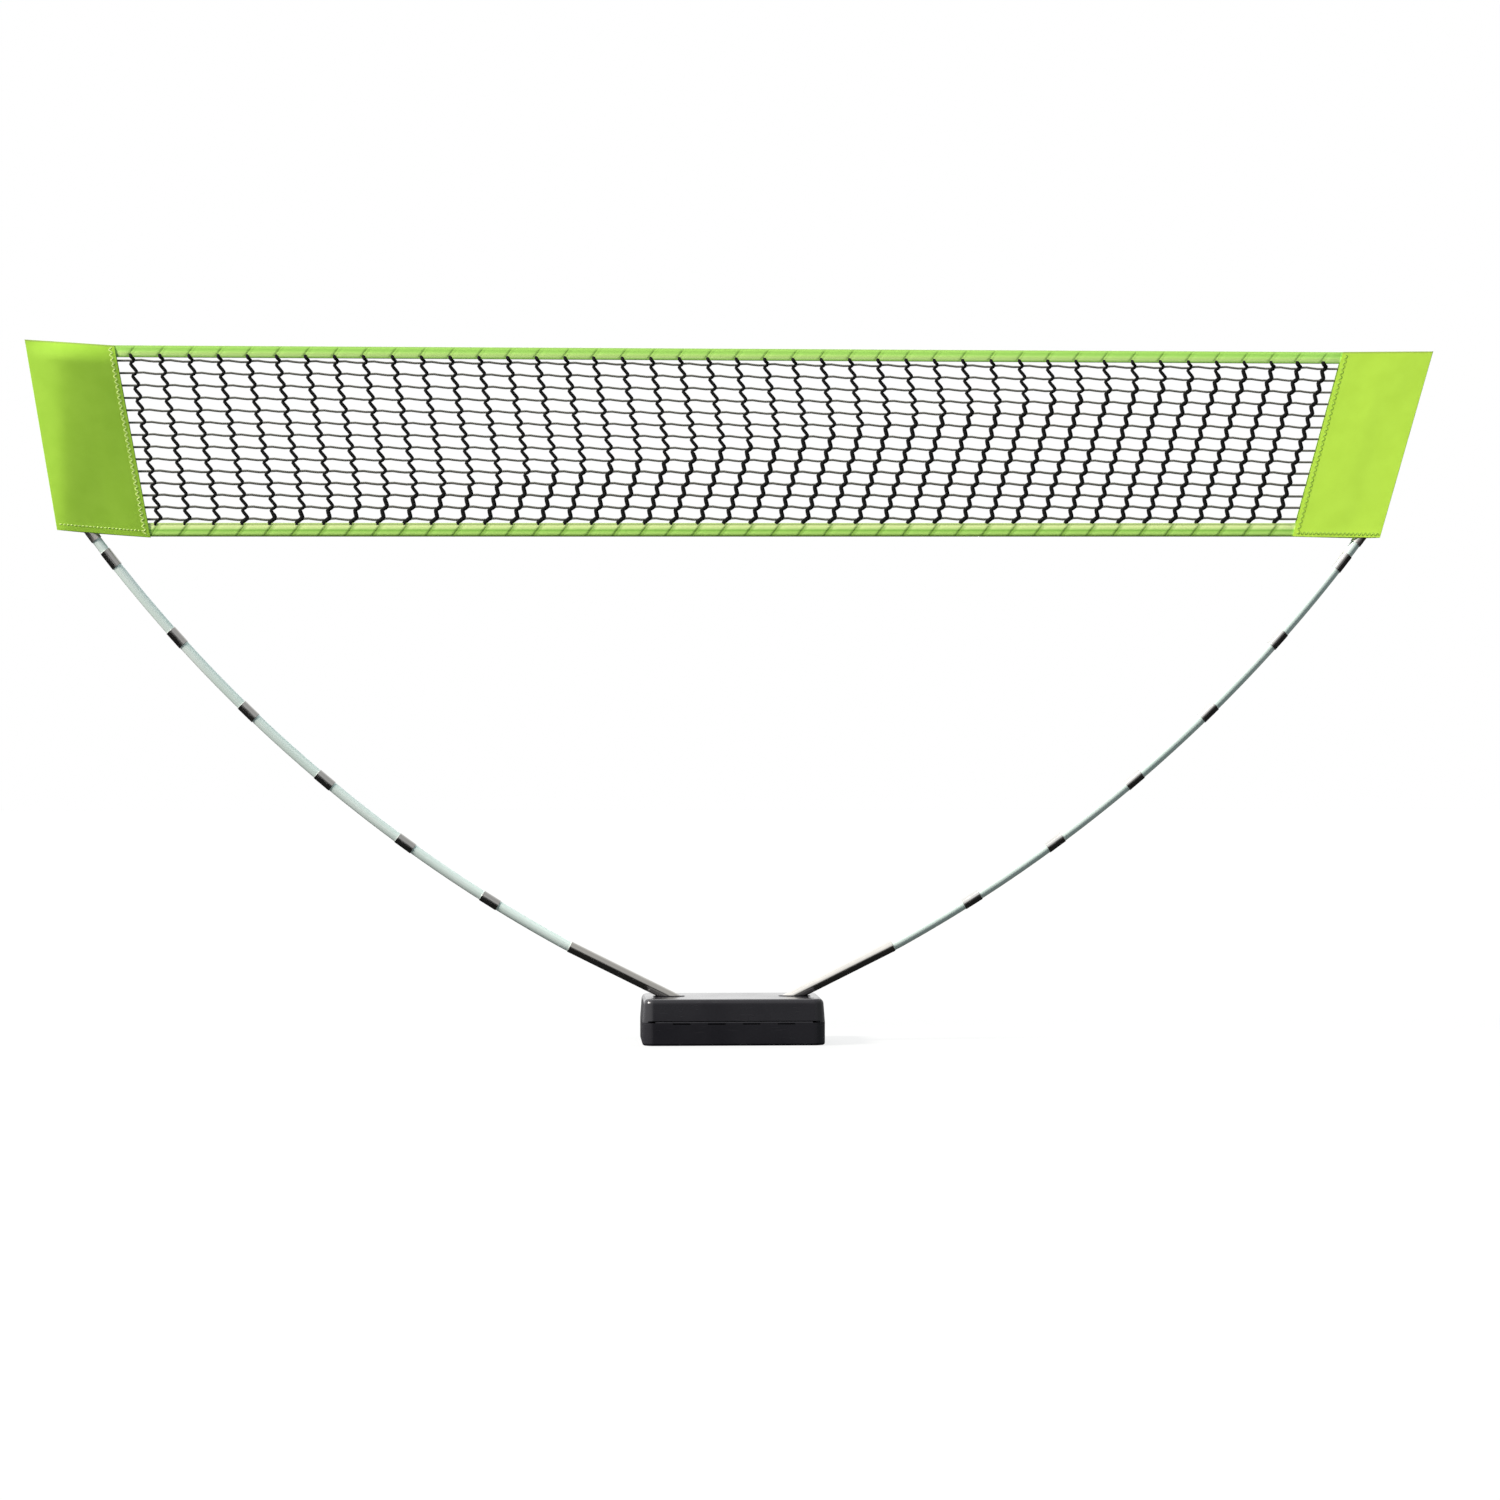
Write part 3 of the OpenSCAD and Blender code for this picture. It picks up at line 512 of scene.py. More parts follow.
def make_steel_pair(name, tint, rough):
    return {side: make_steel(f"{name}_{side}", tint, rough, sign) for side, sign in SIDES.items()}


tube_steel = make_steel_pair("tube_steel", STEEL_TINT, 0.09)
ferrule_steel = make_steel_pair("ferrule_steel", FERRULE_TINT, 0.13)
satin_steel = make_steel_pair("satin_steel", STEEL_TINT, 0.3)
pin_steel = make_steel("pin_steel", PIN_TINT, 0.28)
print("finishes: tubes, ferrules and pins")

# %% [markdown]
# ## Glass fibre
# The pole sections are pale glass fibre with a mint tint. The fibres run along the pole under a clear,
# glossy resin, so the colour has fine streaks and the surface is smooth. The right pole's colour is a
# painted shaded copy, a shade darker, because the window light falls square on it.

# %% Glass fibre
def make_fibre(side, pale, milky):
    material, tree, shader = start_material(f"glass_fibre_{side}", IOR=1.7)
    along = place(tree, bow_place, Place=own_place(tree), Side=SIDES[side])["Place"]
    lines = place(tree, streaks, Place=along, Fineness=420.0)
    patches = place(tree, mottle, Place=along, Scale=14.0)["Amount"]
    colour = blend_colour(tree, lines["Shade"], milky, pale)
    colour = blend_colour(tree, sum_of(tree, "MULTIPLY", patches, 0.35), colour, milky)
    tree.links.new(colour, shader.inputs["Base Color"])
    tree.links.new(sum_of(tree, "MULTIPLY_ADD", patches, 0.05, 0.1), shader.inputs["Roughness"])
    bump(tree, shader, lines["Height"], 0.01, 0.0002)
    return material


# Painted shade: the right pole's colours are painted darker than the left's, for the window light that falls
# square on it.
glass_fibre = {
    "left": make_fibre("left", rgb(238, 246, 243), rgb(220, 236, 230)),
    "right": make_fibre("right", rgb(226, 236, 232), rgb(206, 223, 217)),
}
print("finish: glass fibre")

# %% [markdown]
# ## Plugs and shock cord
# The end plugs and the tip caps are matt black plastic with the same grain as the case. The shock
# cord inside each pole is elastic in a dark woven cover. Both are hidden while the set stands, so
# they need no more than the shared effects.

# %% Plug plastic and shock cord
def make_plug_plastic():
    material, tree, shader = start_material("plug_plastic", Roughness=0.5)
    surface = place(tree, grain, Place=own_place(tree), Scale=1600.0)
    colour = blend_colour(tree, surface["Scuffs"], rgb(44, 44, 47), rgb(88, 88, 90))
    tree.links.new(colour, shader.inputs["Base Color"])
    bump(tree, shader, surface["Height"], 0.15, 0.0002)
    return material


def make_elastic():
    material, tree, shader = start_material("elastic_cover", Roughness=0.85)
    cover = place(tree, weave, Place=own_place(tree), Pitch=0.0009)
    # Painted shade in the gaps of the woven cover.
    colour = blend_colour(tree, cover["Gap shade"], rgb(58, 58, 62), rgb(20, 20, 22))
    tree.links.new(colour, shader.inputs["Base Color"])
    bump(tree, shader, cover["Height"], 0.4, 0.0003)
    return material


plug_plastic = make_plug_plastic()
elastic_cover = make_elastic()
print("finishes: plugs and shock cord")

# %% [markdown]
# ## Dress the solid pieces
# The rigid solids have the right shape already. Each one keeps its mesh and gets the finish of the
# material it is made of, and the finish of its own side where the streaks follow the pole.

# %% Give the solids their finishes
def dress_solids():
    plain = {
        "case_plastic": case_plastic,
        "pin_steel": pin_steel,
        "plug_plastic": plug_plastic,
        "elastic_cord": elastic_cover,
    }
    sided = {"tube_steel": tube_steel, "ferrule_steel": ferrule_steel, "glass_fibre": glass_fibre}
    count = 0
    for name, piece in nodes.items():
        side = "left" if "left" in name else "right"
        for index, old in enumerate(piece.data.materials):
            kind = old.name.split(".")[0]
            new = plain.get(kind) or sided.get(kind, {}).get(side)
            if name.startswith("upper_tube"):
                new = satin_steel[side]
            if new:
                piece.data.materials[index] = new
                count += 1
    return count


print("solids dressed:", dress_solids())

# %% [markdown]
# ## Meshes from numbers
# Net cords, stitches and tapes are all swept shapes: a small section carried along a line. One helper
# turns points and faces into an object, with a UV map in which one unit is one metre (or one turn of a
# twisted cord), so that threads and twist follow the cloth wherever it goes. A curve with a bevel would
# make a cord too, but a mesh of its own gives an oval section and flat, closed ends.

# %% Helper for pieces
SHARP_ANGLE = 50.0


def make_piece(name, points, faces, places, material):
    """A smooth mesh object; places holds a UV pair for each point."""
    mesh = bpy.data.meshes.new(name)
    mesh.from_pydata([tuple(p) for p in points], [], [tuple(int(i) for i in f) for f in faces])
    layer = mesh.uv_layers.new(name="cloth")
    corners = np.zeros(len(mesh.loops), dtype=np.int32)
    mesh.loops.foreach_get("vertex_index", corners)
    layer.data.foreach_set("uv", np.asarray(places, dtype=np.float32)[corners].ravel())
    mesh.polygons.foreach_set("use_smooth", [True] * len(mesh.polygons))
    mesh.materials.append(material)
    mesh.update()
    mesh.set_sharp_from_angle(angle=math.radians(SHARP_ANGLE))
    piece = bpy.data.objects.new(name, mesh)
    scene.collection.objects.link(piece)
    return piece


print("pieces turn sharp past", SHARP_ANGLE, "degrees")

# %% Helpers for cords
CORD_SIDES = 6


def sweep(path, half_wide, half_deep, twist):
    """A closed cord along a path in the net's plane: flat ends, an oval section, UV turns along it."""
    sides = CORD_SIDES
    path = np.asarray(path, dtype=float)
    count = len(path)
    run = np.gradient(path, axis=0)
    run /= np.linalg.norm(run, axis=1)[:, None]
    aside = np.stack([run[:, 2], np.zeros(count), -run[:, 0]], axis=1)
    aside /= np.linalg.norm(aside, axis=1)[:, None]
    deep = np.cross(run, aside)
    wide = np.broadcast_to(np.asarray(half_wide, dtype=float), (count,))
    thick = np.broadcast_to(np.asarray(half_deep, dtype=float), (count,))
    turn = np.arange(sides) * 2.0 * math.pi / sides
    ring = aside[:, None, :] * (np.cos(turn)[None, :, None] * wide[:, None, None])
    ring = ring + deep[:, None, :] * (np.sin(turn)[None, :, None] * thick[:, None, None])
    points = (path[:, None, :] + ring).reshape(-1, 3)
    length = np.concatenate([[0.0], np.cumsum(np.linalg.norm(np.diff(path, axis=0), axis=1))])
    places = np.stack([np.repeat(length / twist, sides), np.tile(np.arange(sides) / sides, count)], axis=1)
    start = np.arange(count - 1)[:, None] * sides
    this = start + np.arange(sides)[None, :]
    after = start + (np.arange(sides)[None, :] + 1) % sides
    faces = np.stack([this, after, after + sides, this + sides], axis=-1).reshape(-1, 4).tolist()
    faces.append(list(range(sides - 1, -1, -1)))
    faces.append(list(range((count - 1) * sides, count * sides)))
    return points, faces, places


def join(parts):
    """Joins swept parts into one set of points, faces and places."""
    points, faces, places, first = [], [], [], 0
    for part_points, part_faces, part_places in parts:
        points.append(part_points)
        places.append(part_places)
        faces.extend([[v + first for v in f] for f in part_faces])
        first += len(part_points)
    return np.concatenate(points), faces, np.concatenate(places)


print("cords have", CORD_SIDES, "sides")

# %% [markdown]
# ## Where the net's lines run
# The net has 43 uprights and 14 level cords. It hangs slack between two sleeves that lean outwards,
# so its uprights lean too: one way above a line that climbs from the lower left to the upper right,
# the other way below it. A cloth simulation of so many knots would be slow and hard to steer, so the
# lines are worked out: every knot is where an upright's line meets a level cord's.

# %% Plan of the net
NET_PLANE = -0.0067
NET_HALF = 1.28
UPRIGHTS = 43
LEVELS = 14
FIRST_UPRIGHT = -1.2632
UPRIGHT_GAP = 0.0612
GAP_LOSS = 0.0324
LAST_GAPS_FROM = 27.4
LAST_GAPS_GAIN = 0.0006
# Heights of the first and the last level cord at each end of the net.
ROWS_LEFT = (1.4397, 1.1056)
ROWS_RIGHT = (1.4370, 1.1150)
ROW_SLACK = 0.0021
# Steps across per step down, from LEAN_START down to the slanting line and below it.
LEAN_START = 1.438
LEAN_ABOVE = 0.168
LEAN_BELOW = -0.317
# The slanting line: its height at the first upright, and its rise from one upright to the next.
KINK_LOW = 1.0803
KINK_STEP = 0.00902
KINK_SOFTNESS = 0.0082


def upright_top(i):
    """How far across upright i is at the first row; the gaps narrow a little to the right."""
    loss = GAP_LOSS * (i / (UPRIGHTS - 1)) ** 2
    return FIRST_UPRIGHT + UPRIGHT_GAP * i - loss + LAST_GAPS_GAIN * max(i - LAST_GAPS_FROM, 0.0)


def level_height(j, across):
    """Height of level cord j; the rows stand a little closer at the right end."""
    left = np.interp(j, [0, LEVELS - 1], ROWS_LEFT)
    right = np.interp(j, [0, LEVELS - 1], ROWS_RIGHT)
    slack = ROW_SLACK * math.sin(math.pi * j / (LEVELS - 1))
    return left + (right - left) * (across + NET_HALF) / (2.0 * NET_HALF) - slack


def kink_height(i):
    """Height at which upright i changes its lean."""
    return KINK_LOW + KINK_STEP * i


def upright_across(i, height):
    """How far across upright i is at a height, without its zigzag."""
    above = LEAN_ABOVE * (LEAN_START - height)
    past = kink_height(i) - height
    soft = 0.5 * (past + math.sqrt(past * past + KINK_SOFTNESS ** 2))
    return upright_top(i) + above + (LEAN_BELOW - LEAN_ABOVE) * soft


def knot(i, j):
    """The point where upright i and level cord j cross."""
    height = level_height(j, upright_top(i))
    return upright_across(i, height), height


print("upright 21 crosses the middle row at", [round(v, 3) for v in knot(21, 7)])

# %% [markdown]
# ## Twine
# The uprights are thick black twine of two strands, and the level cords are thin grey twine. The
# strands wind round the cord, so a sine of the place along it plus the place round it draws them: it
# gives their relief and a painted shade in the grooves between them. One helper makes that ridge, and
# the sewing thread uses it as well.

# %% Twine finish
def strand_ridge(tree, strands):
    """The rounded ridges of a twisted cord, which wind once round it in each turn of its UV map."""
    along, around, _ = split(tree, cloth_place(tree))
    wave = sum_of(tree, "MULTIPLY", sum_of(tree, "ADD", along, around), 2.0 * strands * math.pi)
    return sum_of(tree, "MULTIPLY_ADD", sum_of(tree, "SINE", wave), 0.5, 0.5)


def make_twine(name, dark, light, depth):
    material, tree, shader = start_material(name, Roughness=0.8, Specular_IOR_Level=0.2)
    ridge = strand_ridge(tree, 2)
    fuzz = place(tree, mottle, Place=own_place(tree), Scale=900.0)["Amount"]
    # The ridge paints shade into the grooves between the strands; the fuzz is a random tone.
    shade = sum_of(tree, "MULTIPLY_ADD", fuzz, 0.4, sum_of(tree, "MULTIPLY", ridge, 0.6), clamp=True)
    tree.links.new(blend_colour(tree, shade, dark, light), shader.inputs["Base Color"])
    bump(tree, shader, ridge, depth, 0.0008)
    return material


upright_twine = make_twine("upright_twine", rgb(2, 2, 2), rgb(10, 10, 11), 0.6)
level_twine = make_twine("level_twine", rgb(82, 81, 75), rgb(134, 132, 124), 0.3)
print("finishes: twine")

# %% [markdown]
# ## Upright cords
# Each upright is one swept tube, slightly flattened, and a touch thicker below the line where its lean
# changes. It zigzags once a row, because its strands are pulled aside where a level cord passes
# through them. The zigzag is a short list of shares of the row and steps aside, used for every row,
# and it is gentler below that line. Each end runs on into its tape, where the stitching holds it.

# %% Upright cords
ZIGZAG = (
    (0.03, 0.0010), (0.14, -0.0040), (0.26, -0.0054), (0.45, -0.0026),
    (0.65, 0.0012), (0.84, 0.0042), (0.94, 0.0038),
)
GENTLE_PULL = 0.78
# The two ends: steps across, towards the back and up from the first and the last knot.
TOP_END = (
    (-0.0046, 0.0, 0.0165), (-0.0042, -0.0036, 0.0108), (-0.0026, -0.0036, 0.0076), (0.0024, -0.0010, 0.0030),
)
LOW_END = (
    (0.0012, 0.0, 0.0010), (-0.0050, -0.0010, -0.0042), (-0.0080, -0.0022, -0.0074),
    (-0.0084, -0.0016, -0.0098), (-0.0086, 0.0, -0.0160),
)
UPRIGHT_SLIM = 0.0036
UPRIGHT_THICK = 0.0046
UPRIGHT_DEEP = 0.0019
UPRIGHT_TWIST = 0.012


def upright_path(i):
    """From inside the top tape to inside the bottom tape, with the zigzag of every row."""
    across, height = knot(i, 0)
    path = [(across + x, deep, height + z) for x, deep, z in TOP_END]
    for j in range(LEVELS - 1):
        for share, aside in ZIGZAG:
            x, z = [a + (b - a) * share for a, b in zip(knot(i, j), knot(i, j + 1))]
            pull = 1.0 if z > kink_height(i) else GENTLE_PULL
            path.append((x + aside * pull, 0.0, z))
    across, height = knot(i, LEVELS - 1)
    path += [(across + x, deep, height + z) for x, deep, z in LOW_END]
    return [(x, NET_PLANE + deep, z) for x, deep, z in path]


def build_uprights(side, chosen):
    parts = []
    for i in chosen:
        path = upright_path(i)
        wide = [UPRIGHT_SLIM if p[2] > kink_height(i) else UPRIGHT_THICK for p in path]
        parts.append(sweep(path, wide, UPRIGHT_DEEP, UPRIGHT_TWIST))
    return make_piece(f"net_uprights_{side}", *join(parts), upright_twine)


print("each upright:", len(upright_path(0)), "points")

# %% [markdown]
# ## Level cords
# The level cords are much thinner. Between two uprights each one starts high, ends low and has a small
# wave, so the rows look hand-knotted and not ruled. At the ends they run on into the sleeves' seams.
# The net is built in two halves, one on each pole's side.

# %% Level cords
LEVEL_WAVE = (
    (0.03, 0.0004), (0.14, 0.0014), (0.3, 0.0018), (0.5, 0.0001), (0.72, -0.0013), (0.97, -0.0010),
)
LEVEL_SLIM = 0.0023
LEVEL_THICK = 0.0025
LEVEL_DEEP = 0.0012
LEVEL_TWIST = 0.008
THICK_ROWS_FROM = 9
SEAM_TUCK = 0.006
SEAM_DROP = 0.001
# How far out each sleeve's inner edge is at the height SEAM_LOW and SEAM_RISE above it.
SEAM_ENDS = {"left": (1.2262, 1.3020), "right": (1.2024, 1.3110)}
SEAM_LOW = 1.0742
SEAM_RISE = 0.4


def level_path(j, first, last):
    """Level cord j between two uprights."""
    path = []
    for i in range(first, last):
        here, there = knot(i, j), knot(i + 1, j)
        for share, lift in LEVEL_WAVE:
            x, z = [a + (b - a) * share for a, b in zip(here, there)]
            path.append((x, NET_PLANE, z + lift))
    return path


def seam_reach(side, height):
    """How far out the sleeve's inner edge is at a height."""
    low, high = SEAM_ENDS[side]
    return low + (high - low) * (height - SEAM_LOW) / SEAM_RISE


def build_levels(side, first, last):
    parts = []
    for j in range(LEVELS):
        path = level_path(j, first, last)
        if side == "left":
            height = level_height(j, -NET_HALF)
            path = [(-seam_reach(side, height) - SEAM_TUCK, NET_PLANE, height)] + path
        else:
            height = level_height(j, NET_HALF)
            path = path + [(seam_reach(side, height) + SEAM_TUCK, NET_PLANE, height - SEAM_DROP)]
        half = LEVEL_SLIM if j < THICK_ROWS_FROM else LEVEL_THICK
        parts.append(sweep(path, half, LEVEL_DEEP, LEVEL_TWIST))
    return make_piece(f"net_levels_{side}", *join(parts), level_twine)


# The left half ends before this upright.
MIDDLE = 21
net_pieces = {
    "left": [build_uprights("left", range(MIDDLE)), build_levels("left", 0, MIDDLE)],
    "right": [build_uprights("right", range(MIDDLE, UPRIGHTS)), build_levels("right", MIDDLE, UPRIGHTS - 1)],
}
print("net:", UPRIGHTS, "uprights,", LEVELS, "level cords")

# %% [markdown]
# ## Sleeve cloth
# The tapes and the sleeves are thin lime-green synthetic cloth. The sleeve's finish reads its weave
# from the UV map in metres, so the threads keep their size all over. Its colour is even, but for a
# painted shade along the outer fold and the top edge, and painted shade in the gaps of the weave. The
# left sleeve's colours are a painted shaded copy of the cloth, and the right one's a painted lit copy.

# %% Sleeve cloth
WEAVE_PITCH = 0.0011


def make_sleeve_cloth(name, shade, tone):
    material, tree, shader = start_material(
        name, Sheen_Weight=0.08, Sheen_Roughness=0.4, Specular_IOR_Level=0.25)
    spread = cloth_place(tree)
    threads = place(tree, weave, Place=spread, Pitch=WEAVE_PITCH)
    patches = place(tree, mottle, Place=spread, Scale=24.0)["Amount"]
    colour = blend_colour(tree, patches, shade, tone)
    # Painted shade in the gaps of the weave.
    colour = blend_colour(tree, sum_of(tree, "MULTIPLY", threads["Gap shade"], 0.3), colour, rgb(128, 176, 36))
    from_fold, up, _ = split(tree, spread)
    # Painted shade: an olive line along the outer fold and along the top edge.
    fold_shade = ramp(tree, sum_of(tree, "ABSOLUTE", from_fold), 0.0025, 0.0050, 0.6, 0.0)
    top_edge_shade = ramp(tree, up, 0.3965, 0.3990, 0.0, 0.55)
    colour = blend_colour(tree, sum_of(tree, "MAXIMUM", fold_shade, top_edge_shade), colour, rgb(150, 166, 84))
    tree.links.new(colour, shader.inputs["Base Color"])
    tree.links.new(sum_of(tree, "MULTIPLY_ADD", patches, 0.1, 0.62), shader.inputs["Roughness"])
    bump(tree, shader, threads["Height"], 0.25, 0.0003)
    return material


# Painted light: the left sleeve's colours are a shaded copy of the cloth, and the right one's a lit copy.
sleeve_cloth = {
    "left": make_sleeve_cloth("lime_cloth_left_painted_shade", rgb(166, 213, 61), rgb(172, 218, 67)),
    "right": make_sleeve_cloth("lime_cloth_right_painted_light", rgb(194, 235, 75), rgb(198, 239, 79)),
}
print("finishes: sleeve cloth")

# %% [markdown]
# ## Tape cloth
# The tapes are paler than the sleeves. Across a tape the colour changes in bands, because its folds
# and seams catch more or less light than its flat parts, and a colour ramp over the UV map draws them.
# A painted shade makes a slanting crease at every upright olive, and fades out at the upper edge. The
# gaps of the weave carry painted shade too.

# %% Tape cloth
def make_tape_cloth(name, bands, crease_shade_share):
    """bands: (place across the tape from 0 to 1, colour) from its lower edge up."""
    material, tree, shader = start_material(
        name, Roughness=0.68, Sheen_Weight=0.08, Specular_IOR_Level=0.25)
    along, up, _ = split(tree, cloth_place(tree))
    stripes = add(tree, "ShaderNodeValToRGB", {0: up})
    steps = stripes.color_ramp.elements
    while len(steps) < len(bands):
        steps.new(0.5)
    for step, (share, colour) in zip(steps, bands):
        step.position = share
        step.color = colour
    threads = place(tree, weave, Place=own_place(tree), Pitch=WEAVE_PITCH)
    turn = sum_of(tree, "FRACT", sum_of(tree, "ADD", along, 0.5))
    off = sum_of(tree, "ABSOLUTE", sum_of(tree, "SUBTRACT", turn, 0.5))
    # Painted shade in the slanting crease at every upright, fading out towards the upper edge.
    crease = ramp(tree, off, 0.02, 0.13, crease_shade_share, 0.0)
    crease = sum_of(tree, "MULTIPLY", crease, ramp(tree, up, 0.95, 0.7))
    colour = blend_colour(tree, crease, stripes.outputs[0], rgb(112, 158, 48))
    # Painted shade in the gaps of the weave.
    colour = blend_colour(tree, sum_of(tree, "MULTIPLY", threads["Gap shade"], 0.2), colour, rgb(120, 168, 60))
    tree.links.new(colour, shader.inputs["Base Color"])
    bump(tree, shader, threads["Height"], 0.2, 0.0003)
    return material


# Bands of painted light and shade across each tape, from its lower edge up.
TOP_BANDS = (
    (0.0, rgb(146, 190, 92)), (0.14, rgb(146, 190, 92)), (0.2, rgb(220, 252, 158)),
    (0.32, rgb(212, 251, 142)), (0.46, rgb(206, 250, 136)), (0.58, rgb(182, 240, 112)),
    (0.84, rgb(172, 226, 104)), (0.95, rgb(140, 178, 84)),
)
LOW_BANDS = (
    (0.0, rgb(166, 208, 96)), (0.1, rgb(168, 214, 92)), (0.2, rgb(206, 250, 132)),
    (0.36, rgb(188, 240, 114)), (0.47, rgb(150, 214, 82)), (0.57, rgb(222, 253, 156)),
    (0.78, rgb(240, 255, 176)), (0.97, rgb(196, 224, 130)),
)
top_cloth = make_tape_cloth("top_tape_cloth", TOP_BANDS, 0.4)
low_cloth = make_tape_cloth("bottom_tape_cloth", LOW_BANDS, 0.7)
print("finishes: tapes")

# %% [markdown]
# ## Shape of a tape
# A tape is a strip of cloth folded over the net's edge and sewn. It is modelled as one thick sheet
# bent into a U: two layers with the cords between them. Its columns stand closer round each upright,
# and lean with the crease there, so the dent is real. A flat strip with a drawn crease would be
# quicker, but it would look printed from the side.

# %% Columns of a tape
UPRIGHT_PITCH = 0.06
CREASE_STEPS = (-0.018, -0.010, -0.006, -0.0035, -0.0015, 0.0, 0.0015, 0.0035, 0.006, 0.010, 0.018)
TOP_CREASE_SHIFT = 0.0016
LOW_CREASE_SHIFT = 0.009
MIDDLE_SHIFT = 0.0075


def tape_columns(side, level):
    """Places along the tape: in units of uprights, and in metres across at the tape's middle."""
    columns = []
    chosen = range(0, MIDDLE) if side == "left" else range(MIDDLE, UPRIGHTS)
    shift = TOP_CREASE_SHIFT if level == 0 else LOW_CREASE_SHIFT
    for i in chosen:
        across = knot(i, level)[0] - shift
        columns += [(i + step / UPRIGHT_PITCH, across + step) for step in CREASE_STEPS]
    middle = 0.5 * (knot(MIDDLE - 1, level)[0] + knot(MIDDLE, level)[0]) - MIDDLE_SHIFT
    inner_end = [(MIDDLE - 0.5, middle)]
    return columns + inner_end if side == "left" else inner_end + columns


print("tape columns:", len(tape_columns("left", 0)))

# %% Section of a tape
TAPE_THICK = 0.0012
# The front layer from its free edge to the fold: depth in millimetres, and share of the height.
TAPE_FRONT = (
    (2.7, 0.0), (3.05, 0.04), (2.95, 0.09), (2.55, 0.14), (2.85, 0.22), (3.1, 0.34), (3.15, 0.48),
    (2.9, 0.56), (3.0, 0.70), (2.8, 0.82), (2.2, 0.91), (1.3, 0.97), (0.0, 1.0),
)


def tape_section(height, opening_up):
    """Outer and inner outline of the folded strip, from its front edge to its back edge."""
    front = [(-deep / 1000.0, share * height) for deep, share in TAPE_FRONT]
    outer = np.array(front + [(-deep, up) for deep, up in front[-2::-1]])
    run = np.gradient(outer, axis=0)
    run /= np.linalg.norm(run, axis=1)[:, None]
    inner = outer + np.stack([run[:, 1], -run[:, 0]], axis=1) * TAPE_THICK
    if opening_up:
        outer[:, 1] = height - outer[:, 1]
        inner[:, 1] = height - inner[:, 1]
    return outer, inner


print("tape section:", 2 * len(tape_section(0.025, False)[0]), "points")

# %% [markdown]
# ## Build the tapes
# The section is set up at every column, pressed in where a cord is sewn and slightly proud beside it.
# Each tape is built as a left and a right half, one on each pole's side.

# %% Build the tapes
CREASE_LEAN = 0.75
END_RUN = 0.02
SEAM_COVER = 0.009
END_CLEAR = 0.004
END_TURN = 0.2
DENT = 0.0007
DENT_WIDTH = 0.0028
BULGE = 0.0003
BULGE_AT = 0.006
BULGE_WIDTH = 0.004


def hold(value):
    """The value, held between 0 and 1."""
    return min(max(value, 0.0), 1.0)


def crease_dent(turn):
    """How far the cloth is pressed in at a place along the tape, in units of uprights."""
    aside = ((turn + 0.5) % 1.0 - 0.5) * UPRIGHT_PITCH
    dent = DENT * math.exp(-(aside / DENT_WIDTH) ** 2)
    bulge = BULGE * math.exp(-((aside - BULGE_AT) / BULGE_WIDTH) ** 2)
    return dent - bulge


def tape_faces(columns, around):
    """The sides of the tape, and its two flat ends, where front and back are closed by quads."""
    faces = []
    for k in range(columns - 1):
        for s in range(around):
            a, b = k * around + s, k * around + (s + 1) % around
            faces.append((a, a + around, b + around, b))
    for first, flip in ((0, False), ((columns - 1) * around, True)):
        for s in range(around // 2 - 1):
            a, b = first + s, first + s + 1
            c, d = first + around - 2 - s, first + around - 1 - s
            faces.append((a, b, c, d) if not flip else (d, c, b, a))
    return faces


def build_tape(name, side, level, height, opening_up, edge_heights, cloth):
    """One half of a tape, from the middle of the net to just over the sleeve's seam."""
    outer, inner = tape_section(height, opening_up)
    section = np.concatenate([outer, inner[::-1]])
    end = SIDES[side] * (seam_reach(side, 0.5 * sum(edge_heights)) + SEAM_COVER)
    columns = [column for column in tape_columns(side, level) if abs(column[1]) < abs(end) - END_CLEAR]
    if side == "left":
        columns = [(columns[0][0] - END_TURN, end)] + columns
    else:
        columns = columns + [(columns[-1][0] + END_TURN, end)]
    points, places = [], []
    for turn, across in columns:
        past_end = min(abs(end - across) / END_RUN, 1.0)
        lean = CREASE_LEAN * past_end
        press = 0.5 + 0.5 * past_end
        dent = crease_dent(turn)
        base = np.interp(across, (-NET_HALF, NET_HALF), edge_heights)
        for deep, up in section:
            off_edges = math.sin(math.pi * hold(up / height)) ** 0.5
            deep *= press
            deep -= math.copysign(min(dent, abs(deep)), deep) * off_edges
            points.append((across + lean * (up - 0.5 * height), NET_PLANE + deep, base + up))
            places.append((turn, up / height))
    return make_piece(name, points, tape_faces(len(columns), len(section)), places, cloth)


# For each tape: its level cord, its height, whether its open edge looks up, how high its lower edge
# is at the net's left and right end, and its cloth.
TAPES = {
    "top": (0, 0.0250, False, (1.4472, 1.4472), top_cloth),
    "low": (LEVELS - 1, 0.0290, True, (1.0690, 1.0765), low_cloth),
}
tapes = {}
for side in SIDES:
    for key, plan in TAPES.items():
        tapes[key, side] = build_tape(f"tape_{key}_{side}", side, *plan)
print("tapes:", len(tapes), "halves")

# %% [markdown]
# ## Measures of the sleeves
# Each sleeve is a flat bag: two layers joined along the outer fold and the top, sewn to the net along
# the inner edge and open at the hem, where the pole goes in. The bent steel tube inside lifts the
# layers into a ridge. On the left the cloth falls back to the outer fold behind the ridge; on the
# right it stays level out to the fold. Cloth that is drawn this tight has few folds, so each layer's
# distance from the net's plane is a formula: two slopes that meet in a rounded ridge.

# %% Sleeve measures
CLOTH = 0.0014
SLEEVE_WIDTH = 0.19
SLEEVE_HEIGHT = 0.401
SEAM_HALF = 0.0033
FOLD_THICK = 0.0036
CLOSED_HALF = 0.0017
